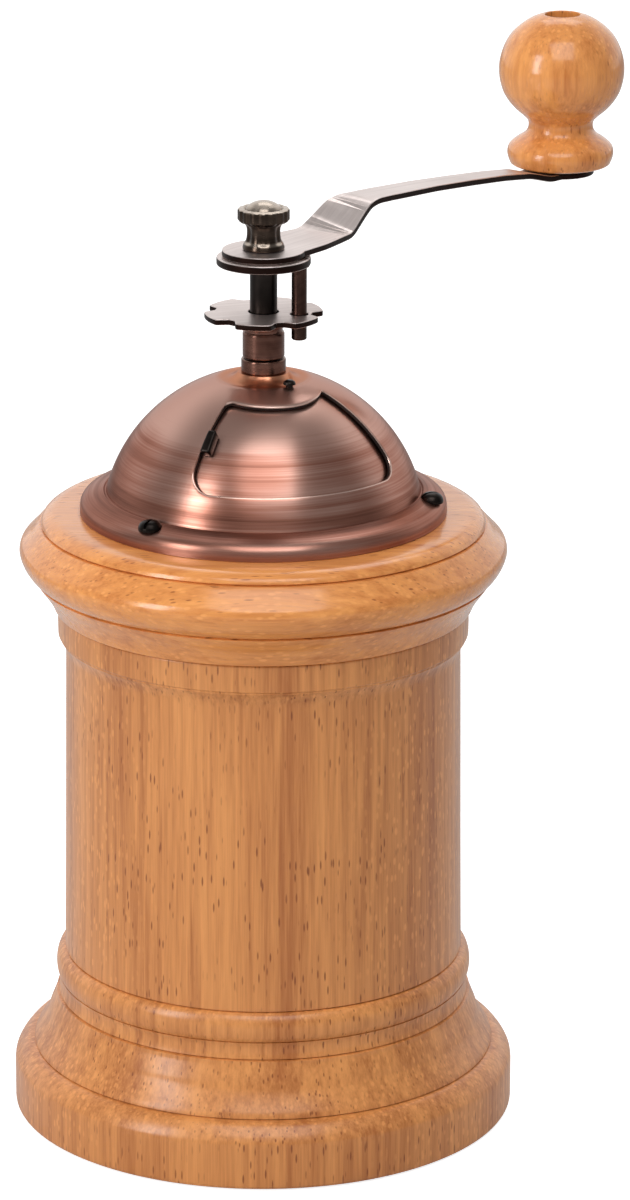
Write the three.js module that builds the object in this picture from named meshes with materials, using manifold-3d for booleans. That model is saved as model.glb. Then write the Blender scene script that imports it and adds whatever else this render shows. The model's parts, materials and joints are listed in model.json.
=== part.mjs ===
// Manual coffee grinder: a turned beech column with a copper hopper dome on top.
// Millimetres, +Z up. The origin is the centre of the underside, on the axis of the spindle.
// The crank points away to the back right, as it was left by the last turn.

import * as THREE from 'three';
import { mergeVertices } from 'three/addons/utils/BufferGeometryUtils.js';
import Module from 'manifold-3d';

const wasm = await Module();
wasm.setup();

// Facets of round work
const largeRound = 32;
const mediumRound = 20;
const smallRound = 12;
const screwRound = 8;

// Clearances
const seatGap = 0.2; // round a piece that sits in a seat
const seamGap = 0.15; // between the two turned wooden pieces
const runningGap = 0.3; // between pieces that turn or slide on each other
const threadGap = 0.6; // between a thread and its nut or neck
const drillPast = 1; // how far a drilled or milled shape runs past the face it opens

// Broken edges of small turned pieces
const lightEdge = 0.2;
const fullEdge = 0.3;
const deepEdge = 0.5;

// Pad under the base
const padRadius = 40;
const padThickness = 1.2;
const padProud = 0.4;

// Canister: outside, from the ground up
const baseRadius = 47;
const footRound = 0.9;
const plinthHeight = 12.4;
const plinthRound = 2.8;
const ogeeFootRadius = 43.2;
const ogeeWaistRadius = 40.6;
const ogeeWaistHeight = 5.4;
const ogeeTopRadius = 39;
const ogeeHeight = 10;
const ogeeSwell = 0.55;
const coveRadius = 38.3;
const coveHeight = 3.5;
const beadRadius = 38.5;
const beadHeight = 5.2;
const beadSwell = 0.5;
const shaftFootRadius = 37.3;
const shaftTopRadius = 36.6;
const shaftHeight = 58.2;
const bandRadius = 38;
const bandCoveHeight = 3.2;
const bandHeight = 8.6;
const bandChamfer = 0.3;

// Canister: inside
const canisterWall = 6.6;
const canisterFloor = 12.6;
const cavityRound = 4;

// Screw neck between canister and head
const neckRingWall = 2.9;
const neckRingHeight = 10;
const sealThickness = 1.3;
const threadLength = 11.6;
const threadWall = 2.2;

// Capital: the wooden ring that carries the mill
const capitalFootRadius = 38.7;
const capitalNeckRadius = 42.2;
const capitalNeckHeight = 6.2;
const capitalNeckHollow = 0.35;
const torusFootRadius = 42.5;
const torusTopRadius = 41.4;
const torusSwell = 3;
const torusHeight = 9.3;
const stepRadius = 41;
const stepHeight = 2.4;
const stepRound = 2;
const capitalBoreGap = 1.4; // round the foot of the bridge

// Mill housing under the capital
const housingFlange = 2.5;
const housingWeb = 3.4;
const burrSeatWall = 3.2;
const burrLip = 2.4;
const burrLipHeight = 4.2;
const housingScrewRoom = 0.4; // between the burr seat and the screw heads
const housingThreadRoom = 0.1; // between the screw heads and the threaded wall
const screwsPerRing = 3;
const housingScrewStart = 30; // degrees
const housingScrewAngles = evenAngles(screwsPerRing, housingScrewStart);

// Burrs
const outerBurrRadius = 20;
const outerBurrHeight = 16;
const outerBurrThroatWall = 7.2;
const outerBurrMouthWall = 2.8;
const innerBurrTaper = 9.1; // from its foot radius to its top radius
const grindGap = 1.1; // between the burrs at the mouth, teeth included
const innerBurrHeight = 14;
const burrTeeth = 11;
const burrToothDepth = 0.5;
const burrTwist = 0.55;
const burrDrop = 1.8; // how far the inner burr hangs below the outer one at the coarsest setting
const retainerThickness = 1.8;
const retainerLip = 1.6;
const retainerScrewInset = 1.7; // from the burr seat to the middle of a screw

// Funnel and bridge in the hopper
const funnelSheet = 0.7;
const funnelFootGap = 0.5;
const funnelRimWidth = 1.3;
const bridgeRingLedge = 0.8; // of the housing's lip that shows inside the ring
const bridgeRingWidth = 3.6;
const bridgeRingThickness = 1.6;
const bridgeArms = 3;
const bridgeArmWidth = 4;
const bridgeArmHeight = 2.6;
const bridgeArmStart = 30; // degrees
const bridgeHubRadius = 5.6;
const bridgeHubHeight = 6.6;
const bridgeScrewStart = 90; // degrees
const bridgeScrewAngles = evenAngles(screwsPerRing, bridgeScrewStart);
const guideBushWall = 1.1;

// Dome and its flange
const flangeRim = 2.5; // from the screw circle to the edge
const flangeEdge = 2;
const flangeRise = 1.6;
const flangeRound = 0.6;
const domeRadius = 29.9;
const domeDrop = 3.4; // how far the centre of the dome lies below the underside of its flange
const domeSheet = 1;
const domeFootSpread = 0.48;
const domeFootFillet = 0.2;
const bossRadius = 7;
const bossRise = 0.35;
const bossTopRadius = 4.7;
const flangeScrewInset = 1.9; // from the foot of the dome
const flangeScrewAngles = [-10, 110, 230];
const flangeScrewSink = 1.1;
const bossRivetRadius = 1.15;
const bossRivetShank = 0.655;
const bossRivetGap = 0.05; // under its head
const bossRivetCircle = 8.3;
const bossRivetAngle = -55;
const bossRivetProud = 0.9;

// Sliding door of the hopper
const openingFrom = -120;
const openingTo = -24;
const openingTop = 65;
const openingFoot = 26.6;
const openingCorner = 4.6;
const openingTopCorner = 1.4;
const doorGap = 0.5; // between the dome and the door under it
const doorSheet = 0.9;
const doorLap = 5; // degrees that the door reaches past its opening at each side
const doorFootLap = 4.4; // degrees that it reaches below
const doorEyeRadius = 9;
const doorEyeLap = 0.7; // of the panel onto its eye
const tabFrom = 38;
const tabTo = 49.5;
const tabWidth = 4.6; // degrees
const tabEdge = 1; // degrees from the side of the opening
const tabProud = 2;

// Bearing bush at the top of the dome
const spindleRadius = 2.5;
const bushWall = 0.9;
const bushRound = 0.35;
const bushCollarRadius = 4.2;
const bushCollarHeight = 2.5;
const bushLength = 11;
const bushNutRadius = 6.6;
const bushNutHeight = 2.6;

// Grind adjustment
const hubRadius = 4;
const hubDrumHeight = 4.6;
const hubHeight = 7.4;
const hubFlareRadius = 4.5;
const wheelRadius = 10.85;
const wheelThickness = 1.1;
const wheelNotches = 6;
const wheelNotchFloor = 8.9;
const wheelNotchFlat = 0.7; // half width of the floor of a notch
const wheelNotchMouth = 2.7; // half width of a notch at the rim
const wheelOutlinePoints = 108;
const firstNotchAngle = -10;

// Stopper disc and pin
const stopperGap = 8.8; // from the wheel up to the disc
const stopperRadius = 8.6;
const stopperThickness = 1.5;
const pinRadius = 1.4;
const pinCircle = 6.75;
const pinAngle = -16;
const pinReach = 4.8; // below the top of the wheel

// Spindle
const flatWidth = 3.9;
const studRadius = 1.9;
const studLength = 6.6;
const lowerStudRadius = 2.1;
const spindleTail = 5;

// Crank
const crankAngle = 52;
const crankThickness = 1.2;
const crankHubRadius = 7.6;
const crankHubGap = 0.1;
const crankReach = 92.4;
const crankSeatRadius = 6.6;
// Each bend near the hub: distance from the axis, height above the hub, half the width
const hubBends = [
  [11, 0, 6.4],
  [18.8, 0, 5],
  [25.6, 4.3, 4.15],
  [28.4, 4.75, 3.95],
  [34, 4.5, 3.7],
];
// Each bend near the knob: distance back from the knob, height above the hub, half the width
const knobBends = [
  [43.9, 3.6, 3.3],
  [32.4, 2.6, 3.1],
  [22, 1.6, 3],
  [13.4, 0.5, 3.05],
];
const crankSeatDrop = 1;

// Knob
const knobPinRadius = 1.9;
const knobPinHeadRadius = 2.9;
const knobPinHeadHeight = 1.6;
const knobWasherRadius = 7;
const knobWasherThickness = 0.4;
const knobFootRadius = 9.6;
const knobRimRadius = 10.3;
const knobRimHeight = 2.8;
const knobNeckRadius = 6.3;
const knobNeckHeight = 8.2;
const knobBallRadius = 12.15;
const knobBallHeight = 18.8;
const knobHeight = 29.5;
const knobFootSwell = 0.55;
const knobNeckEase = 0.6; // wider than the neck where the foot's curve ends
const knobNeckBelow = 1.4;
const knobNeckAbove = 0.9;
const knobBallSwell = 0.2; // of the height from the neck to the middle of the ball
const knobCrownSteps = 6;
const knobSinkRadius = 3.4;
const knobSinkDepth = 4;
const rivetRadius = 2.6;
const rivetHeight = 0.9;

// Thumb nut
const nutFootRadius = 3.8;
const nutNeckRadius = 3.1;
const nutHeadRadius = 4.75;
const nutNeckHeight = 5;
const nutFootHeight = 0.8;
const nutNeckEdge = 0.15;
const nutHeadHeight = 2.5;
const nutCrown = 1.35;
const nutRingRadius = 3.4;
const nutDomeShare = 0.85; // of the crown's height, half way in to the axis
const nutGrip = 7; // depth of its threaded hole

// Washer, nut and spring of the inner burr
const burrWasherRadius = 6.5;
const burrWasherThickness = 1;
const burrNutRadius = 4.4;
const burrNutHeight = 3;
const springRadius = 4;
const springWire = 0.9;
const springTurns = 3;

// Screws and rivets: shares of the radius and of the height of their ends
const screwTipShare = 0.5;
const headSideShare = 0.35;
const headShoulderRadius = 0.72;
const headShoulderHeight = 0.85;
const rivetFlatShare = 0.7;
const rivetSideShare = 0.6;
const woodScrewHead = 2.2;
const woodScrewHeadHeight = 1.9;
const woodScrewShank = 1.2;
const woodScrewLength = 9;
const smallScrewHead = 1.5;
const smallScrewHeadHeight = 1;
const smallScrewShank = 0.9;
const smallScrewLength = 3.4;

// Heights that follow from the sizes above
const ogeeTop = plinthHeight + ogeeHeight;
const coveTop = ogeeTop + coveHeight;
const beadTop = coveTop + beadHeight;
const shaftTop = beadTop + shaftHeight;
const canisterTop = shaftTop + bandHeight;
const cavityFloor = padThickness + canisterFloor;
const cavityRadius = shaftTopRadius - canisterWall;
const burrSeatRadius = outerBurrRadius + seatGap;
const burrSeatOuter = burrSeatRadius + burrSeatWall;
const housingScrewCircle = burrSeatOuter + housingScrewRoom + woodScrewHead;
const neckThreadRadius = housingScrewCircle + woodScrewHead + housingThreadRoom + threadWall;
const neckRingInner = neckThreadRadius + threadGap;
const neckRingOuter = neckRingInner + neckRingWall;

const capitalFoot = canisterTop + seamGap;
const capitalTop = capitalFoot + capitalNeckHeight + torusHeight + stepHeight;
const neckRingTop = capitalFoot - sealThickness - 2 * seamGap;
const housingTop = capitalFoot + housingFlange;
const outerBurrThroat = outerBurrRadius - outerBurrThroatWall;
const outerBurrMouth = outerBurrRadius - outerBurrMouthWall;
const outerBurrTop = housingTop - burrLipHeight - seatGap;
const outerBurrFoot = outerBurrTop - outerBurrHeight;
const innerBurrFootRadius = outerBurrMouth - grindGap;
const innerBurrTopRadius = innerBurrFootRadius - innerBurrTaper;
const innerBurrFoot = outerBurrFoot - burrDrop;
const innerBurrTop = innerBurrFoot + innerBurrHeight;
const retainerTop = outerBurrFoot - seatGap;
const retainerFoot = retainerTop - retainerThickness;
const retainerScrewCircle = burrSeatRadius + retainerScrewInset;

const bridgeRingInner = burrSeatRadius - burrLip + bridgeRingLedge;
const bridgeRingOuter = bridgeRingInner + bridgeRingWidth;
const bridgeScrewCircle = (bridgeRingInner + bridgeRingOuter) / 2;
const bridgeTop = housingTop + bridgeRingThickness;
const bridgeHubTop = housingTop + bridgeHubHeight;
const guideBushRadius = spindleRadius + runningGap + guideBushWall;
const capitalBoreFoot = bridgeRingOuter + capitalBoreGap;

const domeCentre = capitalTop - domeDrop;
const domeInner = domeRadius - domeSheet;
const flangeTop = capitalTop + flangeEdge + flangeRound + flangeRise;
const domeFootRadius = Math.sqrt(domeRadius ** 2 - (flangeTop - domeCentre) ** 2) + domeFootSpread;
const flangeScrewCircle = domeFootRadius + flangeScrewInset;
const flangeScrewSeat = flangeTop - flangeScrewSink;
const flangeRadius = flangeScrewCircle + flangeRim;
const funnelFootRadius = bridgeRingOuter + funnelFootGap;
const funnelFoot = bridgeTop + funnelFootGap;
const funnelRimRadius = flangeScrewCircle - woodScrewShank - 3 * seatGap;
const capitalBoreTop = funnelRimRadius - funnelRimWidth;
const doorOuter = domeInner - doorGap;
const doorInner = doorOuter - doorSheet;
const bushBore = spindleRadius + runningGap;
const bushShank = bushBore + bushWall;
const bossTop = domeCentre + Math.sqrt(domeRadius ** 2 - bossTopRadius ** 2) + bossRise;
const collarTop = bossTop + bushCollarHeight;
const hubFoot = collarTop + seatGap;
const hubTop = hubFoot + hubHeight;
const wheelTop = hubTop + wheelThickness;
const stopperFoot = wheelTop + stopperGap;
const stopperTop = stopperFoot + stopperThickness;
const crankFoot = stopperTop + crankHubGap;
const crankTop = crankFoot + crankThickness;
const crankSeatTop = crankTop - crankSeatDrop;
const crankBends = [...hubBends, ...knobBends.map(([back, rise, half]) => [crankReach - back, rise, half])];
const knobFoot = crankSeatTop + knobWasherThickness + seatGap;
const spindleFoot = innerBurrFoot - spindleTail;

const degrees = (angle) => (angle * Math.PI) / 180;

// A stretch of profile that bows out by swell between two points, without its first point.
// Points are [radius, height].
function bow([r0, z0], [r1, z1], swell, steps) {
  const chord = Math.hypot(r1 - r0, z1 - z0);
  const points = [];
  for (let i = 1; i <= steps; i += 1) {
    const t = i / steps;
    const lift = swell * (1 - (2 * t - 1) ** 2);
    const across = (z1 - z0) / chord;
    const along = -(r1 - r0) / chord;
    points.push([r0 + (r1 - r0) * t + lift * across, z0 + (z1 - z0) * t + lift * along]);
  }
  return points;
}

// A quarter round from the side of a turned piece onto its top, or from its bottom onto its side.
function roundOver(radius, height, size, upper, steps = 3) {
  const points = [];
  for (let i = 0; i <= steps; i += 1) {
    const turn = (Math.PI / 2) * (i / steps);
    const inward = upper ? 1 - Math.cos(turn) : 1 - Math.sin(turn);
    const rise = upper ? Math.sin(turn) - 1 : 1 - Math.cos(turn);
    points.push([radius - size * inward, height + size * rise]);
  }
  return points;
}

// A geometry with only its positions, its shared corners merged and its faces pointing out.
function closed(source) {
  const bare = source.clone();
  bare.deleteAttribute('normal');
  bare.deleteAttribute('uv');
  const merged = mergeVertices(bare, 1e-4);
  const corners = merged.getAttribute('position');
  const faces = [];
  const [a, b, c] = [new THREE.Vector3(), new THREE.Vector3(), new THREE.Vector3()];
  let volume = 0;
  for (let i = 0; i < merged.index.count; i += 3) {
    const face = [merged.index.getX(i), merged.index.getX(i + 1), merged.index.getX(i + 2)];
    if (new Set(face).size === 3) {
      faces.push(face);
      a.fromBufferAttribute(corners, face[0]);
      b.fromBufferAttribute(corners, face[1]);
      c.fromBufferAttribute(corners, face[2]);
      volume += a.dot(b.cross(c));
    }
  }
  const outward = volume < 0 ? faces.map(([i, j, k]) => [i, k, j]) : faces;
  const solid = new THREE.BufferGeometry();
  solid.setAttribute('position', corners);
  solid.setIndex(outward.flat());
  return solid;
}

function toManifold(geometry) {
  const solid = closed(geometry);
  const mesh = new wasm.Mesh({
    numProp: 3,
    vertProperties: new Float32Array(solid.getAttribute('position').array),
    triVerts: new Uint32Array(solid.index.array),
  });
  return new wasm.Manifold(mesh);
}

function fromManifold(manifold) {
  const mesh = manifold.getMesh();
  const geometry = new THREE.BufferGeometry();
  geometry.setAttribute('position', new THREE.BufferAttribute(mesh.vertProperties, 3));
  geometry.setIndex(new THREE.BufferAttribute(mesh.triVerts, 1));
  return geometry;
}

function cut(body, ...tools) {
  return fromManifold(tools.reduce((rest, tool) => rest.subtract(toManifold(tool)), toManifold(body)));
}

function join(body, ...others) {
  return fromManifold(others.reduce((whole, other) => whole.add(toManifold(other)), toManifold(body)));
}

function common(first, second) {
  return fromManifold(toManifold(first).intersect(toManifold(second)));
}

// A turned piece from its profile of [radius, height] points.
function turned(profile, facets) {
  const points = profile.map(([radius, height]) => new THREE.Vector2(radius, height));
  const first = points[0];
  const last = points[points.length - 1];
  if (first.x > 0 || last.x > 0) points.push(first.clone());
  return closed(new THREE.LatheGeometry(points, facets).rotateX(Math.PI / 2));
}

function rod(radius, foot, top, facets = smallRound) {
  return turned([[0, foot], [radius, foot], [radius, top], [0, top]], facets);
}

function collar(inner, outer, foot, top, facets = mediumRound) {
  return turned([[inner, foot], [outer, foot], [outer, top], [inner, top]], facets);
}

function block(width, depth, foot, top) {
  const height = top - foot;
  return new THREE.BoxGeometry(width, depth, height).translate(0, 0, foot + height / 2);
}

function prism(outline, foot, top) {
  const shape = new THREE.Shape(outline.map(([x, y]) => new THREE.Vector2(x, y)));
  const body = new THREE.ExtrudeGeometry(shape, { depth: top - foot, bevelEnabled: false });
  return closed(body.translate(0, 0, foot));
}

function onCircle(geometry, circle, angle) {
  return geometry.clone().translate(circle, 0, 0).rotateZ(degrees(angle));
}

function evenAngles(count, start = 0) {
  return Array.from({ length: count }, (_, i) => start + (360 / count) * i);
}

// A rod with two flats, as the keyed parts of the spindle are; the flats face along the crank.
function keyedRod(radius, width, foot, top) {
  const key = common(rod(radius, foot, top), block(width, 4 * radius, foot - drillPast, top + drillPast));
  return key.rotateZ(degrees(crankAngle));
}

// The hole that a keyed piece has for the spindle, cut through from foot to top.
function keyway(foot, top) {
  return keyedRod(spindleRadius + seatGap, flatWidth + 2 * seatGap, foot - drillPast, top + drillPast);
}

// A curved plate on a sphere about the dome's centre, between two azimuths and two elevations.
function spherePlate({ from, to, low, high, inner, outer, columns, rows }) {
  const plate = new THREE.BoxGeometry(1, 1, 1, columns, rows, 1);
  const corners = plate.getAttribute('position');
  for (let i = 0; i < corners.count; i += 1) {
    const side = Math.sin(Math.PI * corners.getX(i)); // finer steps near the two side edges
    const azimuth = (from + to) / 2 + ((to - from) / 2) * side;
    const edge = ((to - from) / 2) * (1 - Math.abs(side));
    const level = corners.getY(i) + 0.5;
    const elevation = degrees(low(edge) + (high(edge) - low(edge)) * level);
    const radius = inner + (outer - inner) * (corners.getZ(i) + 0.5);
    const flat = radius * Math.cos(elevation);
    corners.setXYZ(
      i,
      flat * Math.cos(degrees(azimuth)),
      flat * Math.sin(degrees(azimuth)),
      domeCentre + radius * Math.sin(elevation),
    );
  }
  return closed(plate);
}

// How far a rounded corner lifts an edge, in degrees, at a distance in degrees from the side.
function cornerLift(edge, corner, elevation) {
  const away = degrees(edge) * domeRadius * Math.cos(degrees(elevation));
  if (away >= corner) return 0;
  const lift = corner - Math.sqrt(corner ** 2 - (corner - away) ** 2);
  return ((lift / domeRadius) * 180) / Math.PI;
}

const finishes = {
  beech: [0xd39a63, 0.5, 0],
  glossyBeech: [0xdc9a5c, 0.35, 0],
  copper: [0x9a6a5c, 0.35, 1],
  bronze: [0x4a3a32, 0.4, 1],
  blackSteel: [0x2a2624, 0.45, 1],
  steel: [0xb4b6b8, 0.35, 1],
  ceramic: [0xf0ece2, 0.45, 0],
  rubber: [0x303030, 0.8, 0],
  felt: [0x4b3a30, 0.95, 0],
};

const grinder = new THREE.Group();
const crankGroup = new THREE.Group();
crankGroup.rotation.z = degrees(crankAngle);
grinder.add(crankGroup);

function piece(name, geometry, finish, parent = grinder) {
  const [color, roughness, metalness] = finishes[finish];
  const mesh = new THREE.Mesh(geometry, new THREE.MeshStandardMaterial({ color, roughness, metalness }));
  mesh.name = name;
  parent.add(mesh);
  return mesh;
}

function canisterBody() {
  const recess = neckRingOuter + seatGap;
  const ogeeWaist = plinthHeight + ogeeWaistHeight;
  return turned([
    [0, padThickness],
    [padRadius + seatGap, padThickness],
    [padRadius + seatGap, padProud],
    ...roundOver(baseRadius, padProud, footRound, false),
    ...roundOver(baseRadius, plinthHeight, plinthRound, true, 4),
    [ogeeFootRadius, plinthHeight + seatGap],
    ...bow([ogeeFootRadius, plinthHeight + seatGap], [ogeeWaistRadius, ogeeWaist], ogeeSwell, 3),
    ...bow([ogeeWaistRadius, ogeeWaist], [ogeeTopRadius, ogeeTop], -ogeeSwell / 2, 2),
    [coveRadius, ogeeTop + ogeeSwell],
    [coveRadius, coveTop - ogeeSwell],
    [beadRadius, coveTop],
    ...bow([beadRadius, coveTop], [beadRadius, beadTop - beadSwell], beadSwell, 4),
    [shaftFootRadius, beadTop],
    [shaftTopRadius, shaftTop],
    ...bow([shaftTopRadius, shaftTop], [bandRadius, shaftTop + bandCoveHeight], -beadSwell, 3),
    [bandRadius, canisterTop - bandChamfer],
    [bandRadius - bandChamfer, canisterTop],
    [recess, canisterTop],
    [recess, neckRingTop - neckRingHeight],
    [cavityRadius, neckRingTop - neckRingHeight],
    ...roundOver(cavityRadius, cavityFloor, cavityRound, false).reverse(),
    [0, cavityFloor],
  ], largeRound);
}

function capitalRing() {
  const neckTop = capitalFoot + capitalNeckHeight;
  const torusTop = neckTop + torusHeight;
  const flangeSeat = neckRingOuter + seatGap;
  const rimSeat = funnelRimRadius + seatGap;
  const body = turned([
    [flangeSeat, capitalFoot],
    [capitalFootRadius, capitalFoot],
    ...bow([capitalFootRadius, capitalFoot], [capitalNeckRadius, neckTop], -capitalNeckHollow, 4),
    ...bow([torusFootRadius, neckTop], [torusTopRadius, torusTop], torusSwell, 8),
    [stepRadius, torusTop + bandChamfer],
    ...roundOver(stepRadius, capitalTop, stepRound, true, 2),
    [rimSeat, capitalTop],
    [rimSeat, capitalTop - funnelSheet],
    [capitalBoreTop, capitalTop - funnelSheet],
    [capitalBoreFoot, housingTop + seatGap],
    [flangeSeat, housingTop + seatGap],
  ], largeRound);
  const pilot = woodScrewShank + seatGap;
  const upper = rod(pilot, capitalTop - woodScrewLength, capitalTop + drillPast, screwRound);
  const lower = rod(pilot, housingTop - drillPast, housingTop + woodScrewLength, screwRound);
  return cut(
    body,
    ...flangeScrewAngles.map((angle) => onCircle(upper, flangeScrewCircle, angle)),
    ...housingScrewAngles.map((angle) => onCircle(lower, housingScrewCircle, angle)),
  );
}

function millHousing() {
  const threadFoot = capitalFoot - threadLength;
  const webFoot = housingTop - housingWeb;
  const body = turned([
    [burrSeatRadius - burrLip, housingTop],
    [burrSeatRadius - burrLip, housingTop - burrLipHeight],
    [burrSeatRadius, housingTop - burrLipHeight],
    [burrSeatRadius, outerBurrFoot],
    [burrSeatOuter, outerBurrFoot],
    [burrSeatOuter, webFoot],
    [neckThreadRadius - threadWall, webFoot],
    [neckThreadRadius - threadWall, threadFoot],
    [neckThreadRadius, threadFoot],
    [neckThreadRadius, capitalFoot],
    [neckRingOuter, capitalFoot],
    [neckRingOuter, housingTop],
  ], largeRound);
  const bore = smallScrewShank + seatGap;
  const depth = smallScrewLength + seatGap;
  const webHole = rod(woodScrewShank + seatGap, webFoot - drillPast, housingTop + drillPast, screwRound);
  const bridgeHole = rod(bore, bridgeTop - depth, housingTop + drillPast, screwRound);
  const retainerHole = rod(bore, outerBurrFoot - drillPast, retainerFoot + depth, screwRound);
  return cut(
    body,
    ...housingScrewAngles.map((angle) => onCircle(webHole, housingScrewCircle, angle)),
    ...bridgeScrewAngles.map((angle) => onCircle(bridgeHole, bridgeScrewCircle, angle)),
    ...bridgeScrewAngles.map((angle) => onCircle(retainerHole, retainerScrewCircle, angle)),
  );
}

// A screw that points down from the underside of its head, or up when turned over.
function screw(head, headHeight, shank, length, seat, down) {
  const way = down ? 1 : -1;
  return turned([
    [0, seat - way * length],
    [shank * screwTipShare, seat - way * length],
    [shank, seat - way * (length - shank)],
    [shank, seat],
    [head, seat],
    [head, seat + way * headHeight * headSideShare],
    [head * headShoulderRadius, seat + way * headHeight * headShoulderHeight],
    [0, seat + way * headHeight],
  ], screwRound);
}

function woodScrew(seat, down) {
  return screw(woodScrewHead, woodScrewHeadHeight, woodScrewShank, woodScrewLength, seat, down);
}

function smallScrew(seat, down) {
  return screw(smallScrewHead, smallScrewHeadHeight, smallScrewShank, smallScrewLength, seat, down);
}

function hopperFunnel() {
  const rimFoot = capitalTop - funnelSheet;
  const topRadius = capitalBoreTop - seatGap;
  return turned([
    [funnelFootRadius, funnelFoot],
    [funnelFootRadius + funnelSheet, funnelFoot],
    [topRadius, rimFoot],
    [funnelRimRadius, rimFoot],
    [funnelRimRadius, capitalTop],
    [topRadius - funnelSheet, capitalTop],
  ], largeRound);
}

function sphereArc(radius, fromFlat, toFlat, steps) {
  const start = Math.acos(fromFlat / radius);
  const end = Math.acos(toFlat / radius);
  return Array.from({ length: steps + 1 }, (_, i) => {
    const turn = start + ((end - start) * i) / steps;
    return [radius * Math.cos(turn), domeCentre + radius * Math.sin(turn)];
  });
}

function hopperDome() {
  const edgeTop = capitalTop + flangeEdge + flangeRound;
  const footFlat = Math.sqrt(domeRadius ** 2 - (flangeTop - domeCentre + domeFootFillet) ** 2);
  const innerFoot = Math.sqrt(domeInner ** 2 - domeDrop ** 2);
  const hole = bushShank + seatGap;
  const body = turned([
    [innerFoot, capitalTop],
    [flangeRadius, capitalTop],
    ...roundOver(flangeRadius, edgeTop, flangeRound, true, 2),
    [domeFootRadius, flangeTop],
    ...sphereArc(domeRadius, footFlat, bossRadius, 9),
    [bossTopRadius + bossRise, bossTop - bossRise],
    [bossTopRadius, bossTop],
    [hole, bossTop],
    ...sphereArc(domeInner, hole, innerFoot, 7),
  ], largeRound);
  const opening = spherePlate({
    from: openingFrom,
    to: openingTo,
    low: (edge) => openingFoot + cornerLift(edge, openingCorner, openingFoot),
    high: (edge) => openingTop - cornerLift(edge, openingTopCorner, openingTop),
    inner: domeInner - drillPast,
    outer: domeRadius + 2 * drillPast,
    columns: 20,
    rows: 1,
  });
  const screwHole = rod(woodScrewShank + seatGap, capitalTop - drillPast, flangeTop, screwRound);
  const spotFace = rod(woodScrewHead + seatGap, flangeScrewSeat, flangeTop + woodScrewHead, smallRound);
  const rivetBore = bossRivetShank + runningGap / 2;
  const rivetHole = rod(rivetBore, bossTop - 2 * bushCollarHeight, bossTop, screwRound);
  return cut(
    body,
    opening,
    ...flangeScrewAngles.map((angle) => onCircle(screwHole, flangeScrewCircle, angle)),
    ...flangeScrewAngles.map((angle) => onCircle(spotFace, flangeScrewCircle, angle)),
    onCircle(rivetHole, bossRivetCircle, bossRivetAngle),
  );
}

function bossRivet() {
  const lowSide = domeCentre + Math.sqrt(domeRadius ** 2 - (bossRivetCircle - bossRivetRadius) ** 2);
  const tail = domeCentre + Math.sqrt(domeInner ** 2 - (bossRivetCircle - bossRivetRadius) ** 2);
  return turned([
    [0, tail],
    [bossRivetShank, tail],
    [bossRivetShank, lowSide + bossRivetGap],
    [bossRivetRadius, lowSide + bossRivetGap],
    [bossRivetRadius, lowSide + bossRivetProud * 0.5],
    [bossRivetRadius * 0.6, lowSide + bossRivetProud * 0.9],
    [0, lowSide + bossRivetProud],
  ], screwRound);
}

function hopperDoor() {
  const top = (Math.acos((doorEyeRadius - doorEyeLap) / doorOuter) * 180) / Math.PI;
  const panel = spherePlate({
    from: openingFrom - doorLap,
    to: openingTo + doorLap,
    low: () => openingFoot - doorFootLap,
    high: () => top,
    inner: doorInner,
    outer: doorOuter,
    columns: 15,
    rows: 6,
  });
  const hole = bushShank + 2 * runningGap;
  const eye = turned([
    ...sphereArc(doorInner, hole, doorEyeRadius, 2).reverse(),
    ...sphereArc(doorOuter, hole, doorEyeRadius, 2),
  ], mediumRound);
  return join(panel, eye);
}

function doorTab() {
  const from = openingFrom + tabEdge;
  return spherePlate({
    from,
    to: from + tabWidth,
    low: () => tabFrom,
    high: () => tabTo,
    inner: doorOuter + seamGap,
    outer: domeRadius + tabProud,
    columns: 2,
    rows: 3,
  });
}

function spindleBush() {
  return turned([
    [bushBore, bossTop - bushLength],
    [bushShank, bossTop - bushLength],
    [bushShank, bossTop],
    [bushCollarRadius, bossTop],
    [bushCollarRadius, collarTop - bushRound],
    [bushCollarRadius - bushRound, collarTop],
    [bushBore, collarTop],
  ], mediumRound);
}

function hexNut(bore, across, foot, top) {
  const hexagon = evenAngles(6).map((angle) => {
    return [across * Math.cos(degrees(angle)), across * Math.sin(degrees(angle))];
  });
  return cut(prism(hexagon, foot, top), rod(bore, foot - drillPast, top + drillPast));
}

function bushNut() {
  const top = domeCentre + Math.sqrt(doorInner ** 2 - bushNutRadius ** 2) - runningGap;
  return hexNut(bushShank + seatGap, bushNutRadius, top - bushNutHeight, top);
}

function guideBridge() {
  const ring = collar(bridgeRingInner, bridgeRingOuter, housingTop, bridgeTop, largeRound);
  const hub = rod(bridgeHubRadius, housingTop, bridgeHubTop, mediumRound);
  const armLength = (bridgeRingInner + bridgeRingOuter) / 2;
  const arm = block(armLength, bridgeArmWidth, housingTop, housingTop + bridgeArmHeight);
  const arms = evenAngles(bridgeArms, bridgeArmStart).map((angle) => onCircle(arm, armLength / 2, angle));
  const drillFoot = housingTop - drillPast;
  const bore = rod(guideBushRadius + seatGap, drillFoot, bridgeHubTop + drillPast, mediumRound);
  const hole = rod(smallScrewShank + seatGap, drillFoot, bridgeTop + drillPast, screwRound);
  const holes = bridgeScrewAngles.map((angle) => onCircle(hole, bridgeScrewCircle, angle));
  return cut(join(ring, hub, ...arms), bore, ...holes);
}

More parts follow.
